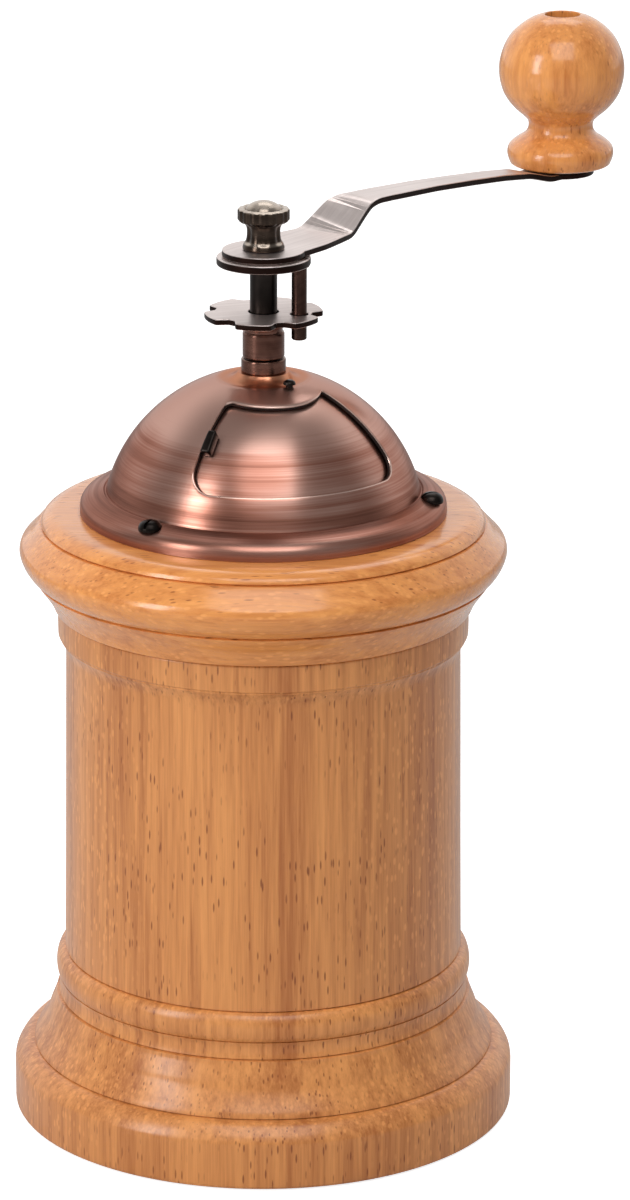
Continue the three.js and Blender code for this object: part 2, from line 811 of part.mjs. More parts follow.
// A burr: a turned ring whose working side is cut into slanting teeth.
function toothed(profile, facets, isWorking, twist) {
  const body = turned(profile, facets);
  const corners = body.getAttribute('position');
  for (let i = 0; i < corners.count; i += 1) {
    const [x, y, z] = [corners.getX(i), corners.getY(i), corners.getZ(i)];
    const radius = Math.hypot(x, y);
    if (isWorking(radius, z)) {
      const phase = burrTeeth * (Math.atan2(y, x) + twist * (z - outerBurrFoot) / outerBurrHeight);
      const scale = 1 + (burrToothDepth * Math.sin(phase)) / radius;
      corners.setXYZ(i, x * scale, y * scale, z);
    }
  }
  return body;
}

function outerBurr() {
  const rows = 4;
  const cone = Array.from({ length: rows + 1 }, (_, i) => {
    const t = i / rows;
    return [outerBurrThroat + (outerBurrMouth - outerBurrThroat) * t, outerBurrTop - outerBurrHeight * t];
  });
  const profile = [...cone, [outerBurrRadius, outerBurrFoot], [outerBurrRadius, outerBurrTop]];
  return toothed(profile, 3 * burrTeeth, (radius) => radius < outerBurrRadius - 1, burrTwist);
}

function innerBurr() {
  const bore = keyway(innerBurrFoot, innerBurrTop);
  const body = toothed([
    [0, innerBurrFoot],
    [innerBurrFootRadius, innerBurrFoot],
    ...bow([innerBurrFootRadius, innerBurrFoot], [innerBurrTopRadius, innerBurrTop], 1, 4),
    [0, innerBurrTop],
  ], 3 * burrTeeth, (radius) => radius > 1, -burrTwist);
  return cut(body, bore);
}

function burrRetainer() {
  const ring = collar(outerBurrMouth + retainerLip, burrSeatOuter, retainerFoot, retainerTop, largeRound);
  const hole = rod(smallScrewShank + seatGap, retainerFoot - drillPast, retainerTop + drillPast, screwRound);
  const angles = bridgeScrewAngles;
  return cut(ring, ...angles.map((angle) => onCircle(hole, retainerScrewCircle, angle)));
}

function spindleRod() {
  const drive = innerBurrTop - innerBurrHeight - burrWasherThickness - 2 * seatGap;
  const lower = keyedRod(spindleRadius, flatWidth, drive, innerBurrTop);
  const middle = rod(spindleRadius, innerBurrTop, stopperFoot);
  const upper = keyedRod(spindleRadius, flatWidth, stopperFoot, crankTop);
  const foot = rod(lowerStudRadius - lightEdge, spindleFoot, drive + deepEdge);
  const stud = rod(studRadius, crankTop - deepEdge, crankTop + studLength);
  return join(middle, lower, upper, foot, stud);
}

function adjustingHub() {
  return turned([
    [bushBore, hubFoot],
    [hubRadius - fullEdge, hubFoot],
    [hubRadius, hubFoot + fullEdge],
    [hubRadius, hubFoot + hubDrumHeight],
    [hubRadius - fullEdge, hubFoot + hubDrumHeight + fullEdge],
    [hubFlareRadius, hubTop - deepEdge],
    [hubFlareRadius, hubTop],
    [bushBore, hubTop],
  ], mediumRound);
}

// The grind wheel: a round plate with notches for the fingers and a hole for the stopper pin.
function adjustingWheel() {
  const pitch = (2 * Math.PI) / wheelNotches;
  const outline = [];
  for (let i = 0; i < wheelOutlinePoints; i += 1) {
    const turn = (2 * Math.PI * i) / wheelOutlinePoints;
    const notches = (turn - degrees(firstNotchAngle)) / pitch;
    const away = Math.abs(notches - Math.round(notches)) * pitch * wheelRadius;
    const share = (away - wheelNotchFlat) / (wheelNotchMouth - wheelNotchFlat);
    const slope = Math.min(Math.max(share, 0), 1);
    const eased = slope * slope * (3 - 2 * slope);
    const radius = wheelNotchFloor + (wheelRadius - wheelNotchFloor) * eased;
    outline.push([radius * Math.cos(turn), radius * Math.sin(turn)]);
  }
  const bore = rod(bushBore, hubTop - drillPast, wheelTop + drillPast, mediumRound);
  const pinHole = rod(pinRadius + runningGap, hubTop - drillPast, wheelTop + drillPast);
  return cut(prism(outline, hubTop, wheelTop), bore, onCircle(pinHole, pinCircle, pinAngle));
}

function stopperDisc() {
  const disc = turned([
    [0, stopperFoot],
    [stopperRadius - lightEdge, stopperFoot],
    [stopperRadius, stopperFoot + lightEdge],
    [stopperRadius, stopperTop - lightEdge],
    [stopperRadius - lightEdge, stopperTop],
    [0, stopperTop],
  ], mediumRound);
  const key = keyway(stopperFoot, stopperTop);
  const pinHole = rod(pinRadius + seatGap, stopperFoot - drillPast, stopperTop + drillPast);
  return cut(disc, key, onCircle(pinHole, pinCircle, pinAngle));
}

function stopperPin() {
  const foot = wheelTop - pinReach;
  const pin = turned([
    [0, foot],
    [pinRadius - fullEdge, foot],
    [pinRadius, foot + fullEdge],
    [pinRadius, stopperTop],
    [0, stopperTop],
  ], smallRound);
  return onCircle(pin, pinCircle, pinAngle);
}

// Plan of the crank: round at the hub, waisted along the arm and round again at the seat.
function crankPlan() {
  const outline = [];
  for (let i = 0; i <= 14; i += 1) {
    const turn = degrees(75 + (210 * i) / 14);
    outline.push([crankHubRadius * Math.cos(turn), crankHubRadius * Math.sin(turn)]);
  }
  for (const [along, , half] of crankBends) outline.push([along, -half]);
  for (let i = 0; i <= 12; i += 1) {
    const turn = degrees(-135 + (270 * i) / 12);
    outline.push([
      crankReach + crankSeatRadius * Math.cos(turn),
      crankSeatRadius * Math.sin(turn),
    ]);
  }
  for (const [along, , half] of [...crankBends].reverse()) outline.push([along, half]);
  return outline;
}

// Side of the crank: the line of its top, and the same line one thickness lower.
function crankSide() {
  const top = [
    [-2 * crankHubRadius, crankTop],
    ...crankBends.map(([along, rise]) => [along, crankTop + rise]),
    [crankReach - knobWasherRadius - 1, crankSeatTop],
    [crankReach + 2 * crankSeatRadius, crankSeatTop],
  ];
  const under = top.map(([along, height], i) => {
    const before = top[Math.max(i - 1, 0)];
    const after = top[Math.min(i + 1, top.length - 1)];
    const slope = Math.atan2(after[1] - before[1], after[0] - before[0]);
    return [along + crankThickness * Math.sin(slope), height - crankThickness * Math.cos(slope)];
  });
  return [...top, ...under.reverse()];
}

function crankArm() {
  const reach = 2 * crankHubRadius; // well past every face of the crank
  const plan = prism(crankPlan(), crankTop - reach, crankTop + reach);
  const side = prism(crankSide(), -reach, reach).rotateX(Math.PI / 2);
  const key = keyway(crankFoot, crankTop).rotateZ(-degrees(crankAngle));
  const eyeFoot = crankSeatTop - crankThickness - drillPast;
  const eye = rod(knobPinRadius + seatGap, eyeFoot, crankSeatTop + drillPast);
  return cut(common(plan, side), key, eye.translate(crankReach, 0, 0));
}

function knobPin() {
  const seatFoot = crankSeatTop - crankThickness;
  const headFoot = knobFoot + knobHeight - knobSinkDepth;
  return turned([
    [0, seatFoot - rivetHeight],
    [rivetRadius * rivetFlatShare, seatFoot - rivetHeight],
    [rivetRadius, seatFoot - rivetHeight * (1 - rivetSideShare)],
    [rivetRadius, seatFoot],
    [knobPinRadius, seatFoot],
    [knobPinRadius, headFoot],
    [knobPinHeadRadius, headFoot],
    [knobPinHeadRadius, headFoot + knobPinHeadHeight * rivetSideShare],
    [knobPinHeadRadius * rivetFlatShare, headFoot + knobPinHeadHeight],
    [0, headFoot + knobPinHeadHeight],
  ], smallRound).translate(crankReach, 0, 0);
}

function knobWasher() {
  const top = crankSeatTop + knobWasherThickness;
  return collar(knobPinRadius + seatGap, knobWasherRadius, crankSeatTop, top).translate(crankReach, 0, 0);
}

// The beech knob: a flared foot, a waist and a round head with a sunk hole for its pin.
function knobBody() {
  const bore = knobPinRadius + runningGap;
  const sinkFoot = knobFoot + knobHeight - knobSinkDepth - runningGap;
  const top = knobFoot + knobHeight;
  const ballCentre = knobFoot + knobBallHeight;
  const neck = knobFoot + knobNeckHeight;
  const crown = top - ballCentre;
  const low = ballCentre - neck;
  const upperBall = [];
  const crownTurn = Math.acos(knobSinkRadius / knobBallRadius);
  for (let i = 1; i <= knobCrownSteps; i += 1) {
    const turn = (crownTurn * i) / (knobCrownSteps + 1);
    upperBall.push([knobBallRadius * Math.cos(turn), ballCentre + crown * Math.sin(turn)]);
  }
  const footCurveEnd = [knobNeckRadius + knobNeckEase, neck - knobNeckBelow];
  const ballCurveStart = [knobNeckRadius + knobNeckEase / 2, neck + knobNeckAbove];
  return turned([
    [bore, knobFoot],
    [knobFootRadius - deepEdge, knobFoot],
    [knobFootRadius, knobFoot + deepEdge],
    [knobRimRadius, knobFoot + knobRimHeight],
    ...bow([knobRimRadius, knobFoot + knobRimHeight], footCurveEnd, knobFootSwell, 3),
    [knobNeckRadius, neck],
    ...bow(ballCurveStart, [knobBallRadius, ballCentre], low * knobBallSwell, 6),
    ...upperBall,
    [knobSinkRadius, top],
    [knobSinkRadius, sinkFoot],
    [bore, sinkFoot],
  ], mediumRound).translate(crankReach, 0, 0);
}

function thumbNut() {
  const foot = crankTop + seatGap / 2;
  const headFoot = foot + nutNeckHeight;
  const headTop = headFoot + nutHeadHeight;
  const bore = studRadius + seatGap;
  return turned([
    [0, foot + nutGrip],
    [bore, foot + nutGrip],
    [bore, foot],
    [nutFootRadius, foot],
    [nutFootRadius, foot + nutFootHeight],
    [nutNeckRadius, foot + 2 * nutFootHeight],
    [nutNeckRadius + nutNeckEdge, headFoot - fullEdge],
    [nutHeadRadius - deepEdge, headFoot],
    [nutHeadRadius, headFoot + deepEdge],
    [nutHeadRadius, headTop - fullEdge],
    [nutHeadRadius - fullEdge, headTop],
    [nutRingRadius + fullEdge, headTop],
    [nutRingRadius, headTop - fullEdge],
    [nutRingRadius - fullEdge, headTop],
    [nutRingRadius / 2, headTop + nutCrown * nutDomeShare],
    [0, headTop + nutCrown],
  ], mediumRound);
}

// The spring between the bridge and the inner burr: one round wire wound on a helix.
class SpringLine extends THREE.Curve {
  getPoint(t) {
    const turn = 2 * Math.PI * springTurns * t;
    const foot = innerBurrTop + springWire;
    const top = housingTop - springWire;
    return new THREE.Vector3(
      springRadius * Math.cos(turn),
      springRadius * Math.sin(turn),
      foot + (top - foot) * t,
    );
  }
}

function burrSpring() {
  const section = new THREE.Shape(evenAngles(6).map((angle) => new THREE.Vector2(
    (springWire / 2) * Math.cos(degrees(angle)),
    (springWire / 2) * Math.sin(degrees(angle)),
  )));
  const options = { steps: 12 * springTurns, extrudePath: new SpringLine(), bevelEnabled: false };
  return closed(new THREE.ExtrudeGeometry(section, options));
}

piece('canister_body', canisterBody(), 'beech');
piece('base_pad', rod(padRadius, 0, padThickness, largeRound), 'felt');
const neckRingFoot = neckRingTop - neckRingHeight;
const sealFoot = neckRingTop + seamGap;
piece('neck_ring', collar(neckRingInner, neckRingOuter, neckRingFoot, neckRingTop), 'steel');
piece('neck_seal', collar(neckRingInner, neckRingOuter, sealFoot, capitalFoot - seamGap), 'rubber');

piece('capital_ring', capitalRing(), 'glossyBeech');
piece('mill_housing', millHousing(), 'steel');
housingScrewAngles.forEach((angle, i) => {
  const body = woodScrew(housingTop - housingWeb, false);
  piece(`housing_screw_${i + 1}`, onCircle(body, housingScrewCircle, angle), 'steel');
});
piece('hopper_funnel', hopperFunnel(), 'steel');
piece('hopper_dome', hopperDome(), 'copper');
flangeScrewAngles.forEach((angle, i) => {
  const body = woodScrew(flangeScrewSeat, true);
  piece(`flange_screw_${i + 1}`, onCircle(body, flangeScrewCircle, angle), 'blackSteel');
});
piece('boss_rivet', onCircle(bossRivet(), bossRivetCircle, bossRivetAngle), 'blackSteel');
piece('spindle_bush', spindleBush(), 'bronze');
piece('bush_nut', bushNut(), 'steel');
piece('guide_bridge', guideBridge(), 'steel');
piece('guide_bush', collar(bushBore, guideBushRadius, housingTop, bridgeHubTop), 'bronze');
bridgeScrewAngles.forEach((angle, i) => {
  piece(`bridge_screw_${i + 1}`, onCircle(smallScrew(bridgeTop, true), bridgeScrewCircle, angle), 'steel');
});
piece('outer_burr', outerBurr(), 'ceramic');
piece('burr_retainer', burrRetainer(), 'steel');
bridgeScrewAngles.forEach((angle, i) => {
  const body = smallScrew(retainerFoot, false);
  piece(`retainer_screw_${i + 1}`, onCircle(body, retainerScrewCircle, angle), 'steel');
});

piece('hopper_door', hopperDoor(), 'copper');
piece('door_tab', doorTab(), 'blackSteel');

piece('adjusting_hub', adjustingHub(), 'bronze');
piece('adjusting_wheel', adjustingWheel(), 'copper');

piece('spindle', spindleRod(), 'blackSteel');
piece('stopper_disc', stopperDisc(), 'copper');
piece('stopper_pin', stopperPin(), 'bronze');
piece('crank_arm', crankArm(), 'copper', crankGroup);
piece('knob_pin', knobPin(), 'blackSteel', crankGroup);
piece('knob_washer', knobWasher(), 'blackSteel', crankGroup);
piece('inner_burr', innerBurr(), 'ceramic');
const burrWasherTop = innerBurrFoot - seatGap;
const burrWasherFoot = burrWasherTop - burrWasherThickness;
const burrNutTop = burrWasherFoot - seatGap;
piece('burr_washer', cut(
  rod(burrWasherRadius, burrWasherFoot, burrWasherTop, mediumRound),
  keyway(burrWasherFoot, burrWasherTop),
), 'steel');
piece('burr_nut', hexNut(lowerStudRadius, burrNutRadius, burrNutTop - burrNutHeight, burrNutTop), 'steel');
piece('burr_spring', burrSpring(), 'steel');

piece('thumb_nut', thumbNut(), 'bronze');
piece('knob', knobBody(), 'glossyBeech', crankGroup);

export default grinder;
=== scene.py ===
# %% [markdown]
# # A hand coffee mill
# The mill is a turned beech column with a copper dome on top. Its parts already exist as a frame of
# solids. This script gives every part that shows its fine surface and its finish. The frame comes
# first, because each new piece takes its place and height from it.

# %% Load the frame
import json
from math import acos, atan2, cos, degrees, hypot, pi, radians, sin, sqrt

import bmesh
import bpy
from mathutils import Matrix, Vector


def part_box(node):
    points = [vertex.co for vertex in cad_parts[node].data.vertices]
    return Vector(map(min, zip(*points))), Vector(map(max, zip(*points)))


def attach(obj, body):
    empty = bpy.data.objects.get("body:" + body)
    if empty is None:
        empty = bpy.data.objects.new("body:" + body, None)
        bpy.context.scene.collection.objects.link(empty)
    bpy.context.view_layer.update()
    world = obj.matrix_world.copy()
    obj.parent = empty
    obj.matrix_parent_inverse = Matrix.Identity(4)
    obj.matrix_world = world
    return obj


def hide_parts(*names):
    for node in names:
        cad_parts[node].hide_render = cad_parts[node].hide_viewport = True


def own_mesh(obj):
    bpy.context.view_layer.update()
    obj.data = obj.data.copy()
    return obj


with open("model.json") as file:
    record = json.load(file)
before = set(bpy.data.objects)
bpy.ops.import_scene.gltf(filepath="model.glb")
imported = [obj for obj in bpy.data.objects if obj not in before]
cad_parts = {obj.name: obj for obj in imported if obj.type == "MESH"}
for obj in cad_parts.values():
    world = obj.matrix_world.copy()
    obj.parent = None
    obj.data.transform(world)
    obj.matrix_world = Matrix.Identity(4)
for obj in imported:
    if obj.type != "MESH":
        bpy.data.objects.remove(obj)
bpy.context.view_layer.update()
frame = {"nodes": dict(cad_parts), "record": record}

# %% [markdown]
# ## Sizes
# Blender works in metres, and a mill is easier to think about in millimetres. So sizes are turned into
# metres only when a mesh is made. Most heights are read from the frame's own boxes, so that a piece
# can't drift away from the part it stands for.

# %% Heights from the frame
MM = 0.001


def levels(node):
    """The lowest and highest point of a frame node, in millimetres."""
    low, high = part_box(node)
    return low[2] / MM, high[2] / MM


def middle(node):
    """The upright axis through the middle of a frame node, in millimetres."""
    low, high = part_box(node)
    return (low[0] + high[0]) / 2 / MM, (low[1] + high[1]) / 2 / MM


canister_foot, canister_top = levels("canister_body")
capital_foot, capital_top = levels("capital_ring")
dome_top = levels("hopper_dome")[1]
collar_top = levels("spindle_bush")[1]
hub_foot, hub_top = levels("adjusting_hub")
wheel_top = levels("adjusting_wheel")[1]
disc_foot, disc_top = levels("stopper_disc")
pin_foot = levels("stopper_pin")[0]
nut_foot, nut_top = levels("thumb_nut")
knob_foot, knob_top = levels("knob")
knob_axis = middle("knob")
print("canister top", round(canister_top, 2), "dome top", round(dome_top, 2), "knob axis", knob_axis)

# %% [markdown]
# ## Camera
# The picture was taken from a little above, with a long lens, so the round parts show as flat
# ellipses and the sides stay nearly parallel. The camera is rolled by a fifth of a degree.

# %% Place the camera
LOOK_AT = Vector((9.55, 0, 98.5)) * MM
CAMERA_DISTANCE = 1.0
CAMERA_ELEVATION = radians(17.35)
CAMERA_ROLL = radians(0.2)
LENS = 162


def placed(name, data):
    """A new object in the scene."""
    item = bpy.data.objects.new(name, data)
    bpy.context.scene.collection.objects.link(item)
    return item


camera_data = bpy.data.cameras.new("camera")
camera_data.lens = LENS
camera_data.sensor_width = 36
camera = placed("camera", camera_data)
back = Vector((0, -cos(CAMERA_ELEVATION), sin(CAMERA_ELEVATION)))
camera.location = LOOK_AT + back * CAMERA_DISTANCE
tilt = Matrix.Rotation(pi / 2 - CAMERA_ELEVATION, 4, "X")
roll = Matrix.Rotation(CAMERA_ROLL, 4, "Z")
camera.rotation_euler = (tilt @ roll).to_euler()
bpy.context.scene.camera = camera
print("camera at", [round(value, 4) for value in camera.location])

# %% [markdown]
# ## Studio
# The floor is pale, and to the camera it is brighter than its light makes it, so that it goes over into
# the white background without an edge.

# %% Floor and world
FLOOR_SIZE = 3.0
FLOOR_COLOUR = (0.66, 0.66, 0.66, 1)
FLOOR_PATCH = (0.68, 0.68, 0.68, 1)
FLOOR_LIFT = 0.85
ROOM = 0.3
BACKDROP = 1.0

bm = bmesh.new()
bmesh.ops.create_grid(bm, x_segments=1, y_segments=1, size=FLOOR_SIZE)
floor_mesh = bpy.data.meshes.new("floor")
bm.to_mesh(floor_mesh)
bm.free()
floor = placed("floor", floor_mesh)

world = bpy.data.worlds.new("studio")
bpy.context.scene.world = world
world.use_nodes = True
print("floor", FLOOR_SIZE * 2, "m wide")

# %% [markdown]
# ## Shader maths
# A finish is a formula: where am I on the piece, how far is the next growth ring, is this a pore? A
# small class wraps one socket of a node, so that such formulas can be written in Python. Adding or
# multiplying two of them adds a Math node.

# %% A socket that can be calculated with
class Wire:
    """One output socket of a material. Sums and products of wires add Math nodes."""

    def __init__(self, socket):
        self.socket = socket

    def node(self, kind, settings=None, sockets=None, out=0):
        """A new node: first its settings, then the values or links of its sockets."""
        tree = self.socket.id_data
        node = tree.nodes.new(kind)
        for name, value in (settings or {}).items():
            setattr(node, name, value)
        for name, value in (sockets or {}).items():
            if isinstance(value, Wire):
                tree.links.new(value.socket, node.inputs[name])
            else:
                node.inputs[name].default_value = value
        return Wire(node.outputs[out])

    def maths(self, operation, *values):
        return self.node("ShaderNodeMath", {"operation": operation}, dict(enumerate(values)))

    def __add__(self, other):
        return self.maths("ADD", self, other)

    def __sub__(self, other):
        return self.maths("SUBTRACT", self, other)

    def __mul__(self, other):
        return self.maths("MULTIPLY", self, other)

    def __truediv__(self, other):
        return self.maths("DIVIDE", self, other)

    def __pow__(self, other):
        return self.maths("POWER", self, other)

    def __rsub__(self, other):
        return self.maths("SUBTRACT", other, self)

    __radd__ = __add__
    __rmul__ = __mul__

    def between(self, low, high):
        """0 below low, 1 above high, and a soft step between. Low may be the higher number."""
        settings = {"interpolation_type": "SMOOTHSTEP"}
        sockets = {"Value": self, "From Min": low, "From Max": high}
        return self.node("ShaderNodeMapRange", settings, sockets)

    def vector(self, operation, *others, out=0):
        sockets = dict(enumerate((self, *others)))
        return self.node("ShaderNodeVectorMath", {"operation": operation}, sockets, out)

    def stretch(self, scale):
        """This vector times another, part by part."""
        return self.vector("MULTIPLY", scale)

    def length(self):
        return self.vector("LENGTH", out=1)

    def part(self, index):
        return self.node("ShaderNodeSeparateXYZ", None, {0: self}, out=index)

    def noise(self, scale, detail=2.0, roughness=0.5):
        sockets = {"Vector": self, "Scale": scale, "Detail": detail, "Roughness": roughness}
        return self.node("ShaderNodeTexNoise", None, sockets)

    def cells(self, scale):
        """Distance to the nearest of many scattered points."""
        return self.node("ShaderNodeTexVoronoi", None, {"Vector": self, "Scale": scale})

    def mix(self, first, second):
        """The first colour where this is 0 and the second where it is 1."""
        sockets = {0: self, 6: first, 7: second}
        return self.node("ShaderNodeMix", {"data_type": "RGBA"}, sockets, out=2)

    def bump(self, distance, strength=1.0):
        sockets = {"Height": self, "Distance": distance, "Strength": strength}
        return self.node("ShaderNodeBump", None, sockets)


def finish(name, paint, *details):
    """A material: paint takes the place on the piece and gives what the surface's sockets hold."""
    material = bpy.data.materials.new(name)
    material.use_nodes = True
    tree = material.node_tree
    surface = tree.nodes["Principled BSDF"]
    place = Wire(tree.nodes.new("ShaderNodeTexCoord").outputs["Object"])
    for socket, value in paint(place, *details).items():
        if isinstance(value, Wire):
            tree.links.new(value.socket, surface.inputs[socket])
        else:
            surface.inputs[socket].default_value = value
    print("finish", name, "has", len(tree.nodes), "nodes")
    return material


def facing(place):
    """The direction in which the surface looks."""
    return Wire(place.socket.id_data.nodes.new("ShaderNodeNewGeometry").outputs["Normal"])


# %% [markdown]
# ## World and floor finish
# The camera sees the world white. All else sees a dim room with a white backdrop behind the mill that
# fades out overhead: flat plates and the edges of the wood mirror the backdrop and look bright, and the
# front of the dome mirrors the room and looks dark.

# %% Finish the world and the floor
def seen_by(tree, ray):
    """1 for rays of this kind, and 0 for all others."""
    return Wire(tree.nodes.new("ShaderNodeLightPath").outputs[ray])


sky = world.node_tree.nodes["Background"]
sky.inputs["Color"].default_value = (1, 1, 1, 1)
to_camera = seen_by(world.node_tree, "Is Camera Ray")
direction = Wire(world.node_tree.nodes.new("ShaderNodeTexCoord").outputs["Generated"])
BACKWARD = (-0.05, 0.5)
OVERHEAD = (0.92, 0.5)
behind = direction.part(1).between(*BACKWARD) * direction.part(2).between(*OVERHEAD)
mirrored = behind * (BACKDROP - ROOM) + ROOM
strength = to_camera * (1 - mirrored) + mirrored
world.node_tree.links.new(strength.socket, sky.inputs["Strength"])


def pale_floor(place):
    patches = place.noise(3.0)
    lift = seen_by(place.socket.id_data, "Is Camera Ray")
    return {
        "Base Color": patches.mix(FLOOR_COLOUR, FLOOR_PATCH),
        "Roughness": 0.9,
        "Specular IOR Level": 0.1,
        "Emission Color": lift.mix((0, 0, 0, 1), (1, 1, 1, 1)),
        "Emission Strength": FLOOR_LIFT,
    }


floor.data.materials.append(finish("pale_floor", pale_floor))

# %% [markdown]
# ## Lights
# Soft panels stand round the mill. A broad one high in front draws the soft patch on the door and the
# line round the capital, and a narrow one at the front left lights the wood from the side and draws the
# upright highlights on the metal. The one behind is weaker. A panel is placed by its angle round the
# mill and above the ground, and its power follows from how bright its face should be.

# %% Place the lights
def panel(name, angle, elevation, distance, width, height, brightness):
    """An area light that looks at the middle of the mill."""
    light = bpy.data.lights.new(name, "AREA")
    light.shape = "RECTANGLE"
    light.size = width
    light.size_y = height
    light.energy = brightness * pi * width * height
    lamp = placed(name, light)
    flat = cos(radians(elevation))
    turn = radians(angle)
    way = Vector((flat * cos(turn), flat * sin(turn), sin(radians(elevation))))
    lamp.location = Vector((0, 0, 0.1)) + way * distance
    lamp.rotation_euler = way.to_track_quat("Z", "Y").to_euler()
    print(name, "gives", round(light.energy, 1), "W")


panel("front_panel", -86, 56, 1.1, 0.75, 0.8, 3.0)
panel("left_strip", -142, 22, 1.0, 0.24, 0.6, 8.6)
panel("back_panel", 84, 54, 1.1, 0.6, 0.4, 2.0)

# %% [markdown]
# ## Beech
# Beech shows fine fibres, growth rings, and short dark pores like pencil dashes. All of that follows
# from one idea: the wood is a solid block, and turning it shows where the rings lie. So the finish works
# out how far each point is from the heart of the tree, and draws rings by that distance. The fibres are
# a noise that is drawn out along the grain, and each pore is a stretched cell. Pores crowd where the
# rings lie flat under the surface. Each of the turner's grooves and joints gets a dark line, partly
# lacquer gathered there and partly painted shade, in a wider haze of painted shade, so each finish is
# also given their heights.

# %% Beech
RING_PITCH = 2.6 * MM
FIBRE_STRETCH = 0.03
PORE_STRETCH = 0.18
RAY_STRETCH = 0.4
PORE_CELLS = 1250.0
RAY_CELLS = 900.0
LINE_REACH = (0.5 * MM, 0.1 * MM)
LINE_STRENGTH = 0.55
SHADE_HAZE_REACH = (3.6 * MM, 0.2 * MM)
SHADE_HAZE_STRENGTH = 0.22


def groove_lacquer_and_shade(place, grooves):
    """Painted shade: a dark line in the bottom of each groove, by its height in millimetres, partly
    lacquer gathered there, in a weak haze of painted shade.
    """
    height = place.part(2)
    # Each groove adds a dark line, partly lacquer and partly painted shade, and a haze of painted shade.
    stain = height * 0.0
    for groove in grooves:
        away = (height - groove * MM).maths("ABSOLUTE")
        line = away.between(*LINE_REACH) * LINE_STRENGTH
        stain = stain + line + away.between(*SHADE_HAZE_REACH) * SHADE_HAZE_STRENGTH
    return stain


def beech(place, grain, heart, light, dark, gloss, grooves):
    """Turned beech. Grain is the axis of the fibres, and heart a point on the axis of the tree."""

    def along(factor):
        """The place, squeezed along the grain by this factor."""
        way = [1.0, 1.0, 1.0]
        way[grain] = factor
        return place.stretch(way)

    fibres = along(FIBRE_STRETCH)
    to_heart = [-value * (axis != grain) for axis, value in enumerate(heart)]
    from_heart = along(0.0).vector("ADD", to_heart)
    rings = from_heart.length() / RING_PITCH + fibres.noise(45.0, 2.0) * 1.6
    late = rings.maths("FRACT") ** 4
    fine = fibres.noise(2600.0, 3.0, 0.65)
    streaks = fibres.noise(850.0, 2.0, 0.5)
    broad = fibres.noise(200.0, 3.0, 0.6)
    slow = fibres.noise(50.0, 1.0)
    shade = late * 0.2 + fine * 0.3 + streaks * 0.42 + broad * 0.4 + slow * 0.3 - 0.24
    across = facing(place).vector("DOT_PRODUCT", from_heart.vector("NORMALIZE"), out=1)
    flat_sawn = across * across
    crowd = place.noise(70.0, 2.0).between(0.3, 0.6) * (flat_sawn.between(0.1, 0.75) * 0.85 + 0.15)
    pore = along(PORE_STRETCH).cells(PORE_CELLS).between(0.27, 0.12) * crowd
    rays = along(RAY_STRETCH).cells(RAY_CELLS).between(0.34, 0.16) * flat_sawn.between(0.95, 0.6) * 0.14
    wood = (shade - rays).between(0.26, 0.74).mix(light, dark)
    deep = (dark[0] * 0.5, dark[1] * 0.36, dark[2] * 0.28, 1)
    worn = (pore * 0.8).mix(wood, deep)
    relief = fine * 0.25 - pore * 0.8
    return {
        # The grooves are darkened by painted shade, with some lacquer in their lines.
        "Base Color": groove_lacquer_and_shade(place, grooves).mix(worn, deep),
        "Roughness": shade * 0.12 + gloss + pore * 0.15,
        "Specular IOR Level": 0.2,
        "Coat Weight": 0.75,
        "Coat Roughness": gloss * 0.7,
        "Normal": relief.bump(0.04 * MM, 0.5),
    }


SATIN_LIGHT = (0.77, 0.322, 0.095, 1)
SATIN_DARK = (0.38, 0.112, 0.024, 1)
GLOSSY_LIGHT = (0.89, 0.375, 0.110, 1)
GLOSSY_DARK = (0.54, 0.165, 0.034, 1)
# Heights of the grooves and joints that are darkened, mostly by painted shade.
CANISTER_GROOVES = (12.65, 22.5, 25.85, 31.25, canister_top)
CAPITAL_GROOVES = (capital_foot, 104.4, 113.75)
satin_beech = finish(
    "satin_beech", beech, 2, (0.01, 0.12, 0.0), SATIN_LIGHT, SATIN_DARK, 0.38, CANISTER_GROOVES,
)
glossy_beech = finish(
    "glossy_beech", beech, 0, (0.0, 0.02, -0.09), GLOSSY_LIGHT, GLOSSY_DARK, 0.22, CAPITAL_GROOVES,
)
knob_beech = finish(
    "knob_beech", beech, 2, (0.03, 0.16, 0.0), GLOSSY_LIGHT, GLOSSY_DARK, 0.22, (),
)

# %% [markdown]
# ## Antique copper
# The sheet is copper plated, darkened in a bath and then brushed on the lathe, so that fine rings run
# round it and the dark stays in between. A brush mark is a noise that is long round the piece and very
# short across it. Height minus most of the radius measures "across": it grows from the rim of the
# flange up over the dome, so one formula serves all of it. The brushing also stretches highlights,
# which is what the anisotropic setting does.

# %% Antique copper
LOW_BAND = (129 * MM, 121 * MM)
ABOVE_FLANGE = (118.5 * MM, 120 * MM)
CROWN_BAND = (130 * MM, 138 * MM)
SKIRT_SHEEN_REACH = (9.2 * MM, 7.4 * MM)
EDGE_TINT = (0.66, 0.55, 0.52, 1)


def brush_marks(place, fineness, seed):
    """Streaks that run round the spindle's axis, from 0 to 1."""
    x = place.part(0)
    y = place.part(1)
    outward = (x * x + y * y) ** 0.5
    across = place.part(2) - outward * 0.8 + seed
    sockets = {0: x * 14.0, 1: y * 14.0, 2: across * fineness}
    way = place.node("ShaderNodeCombineXYZ", None, sockets)
    return way.noise(1.0, 4.0, 0.62)


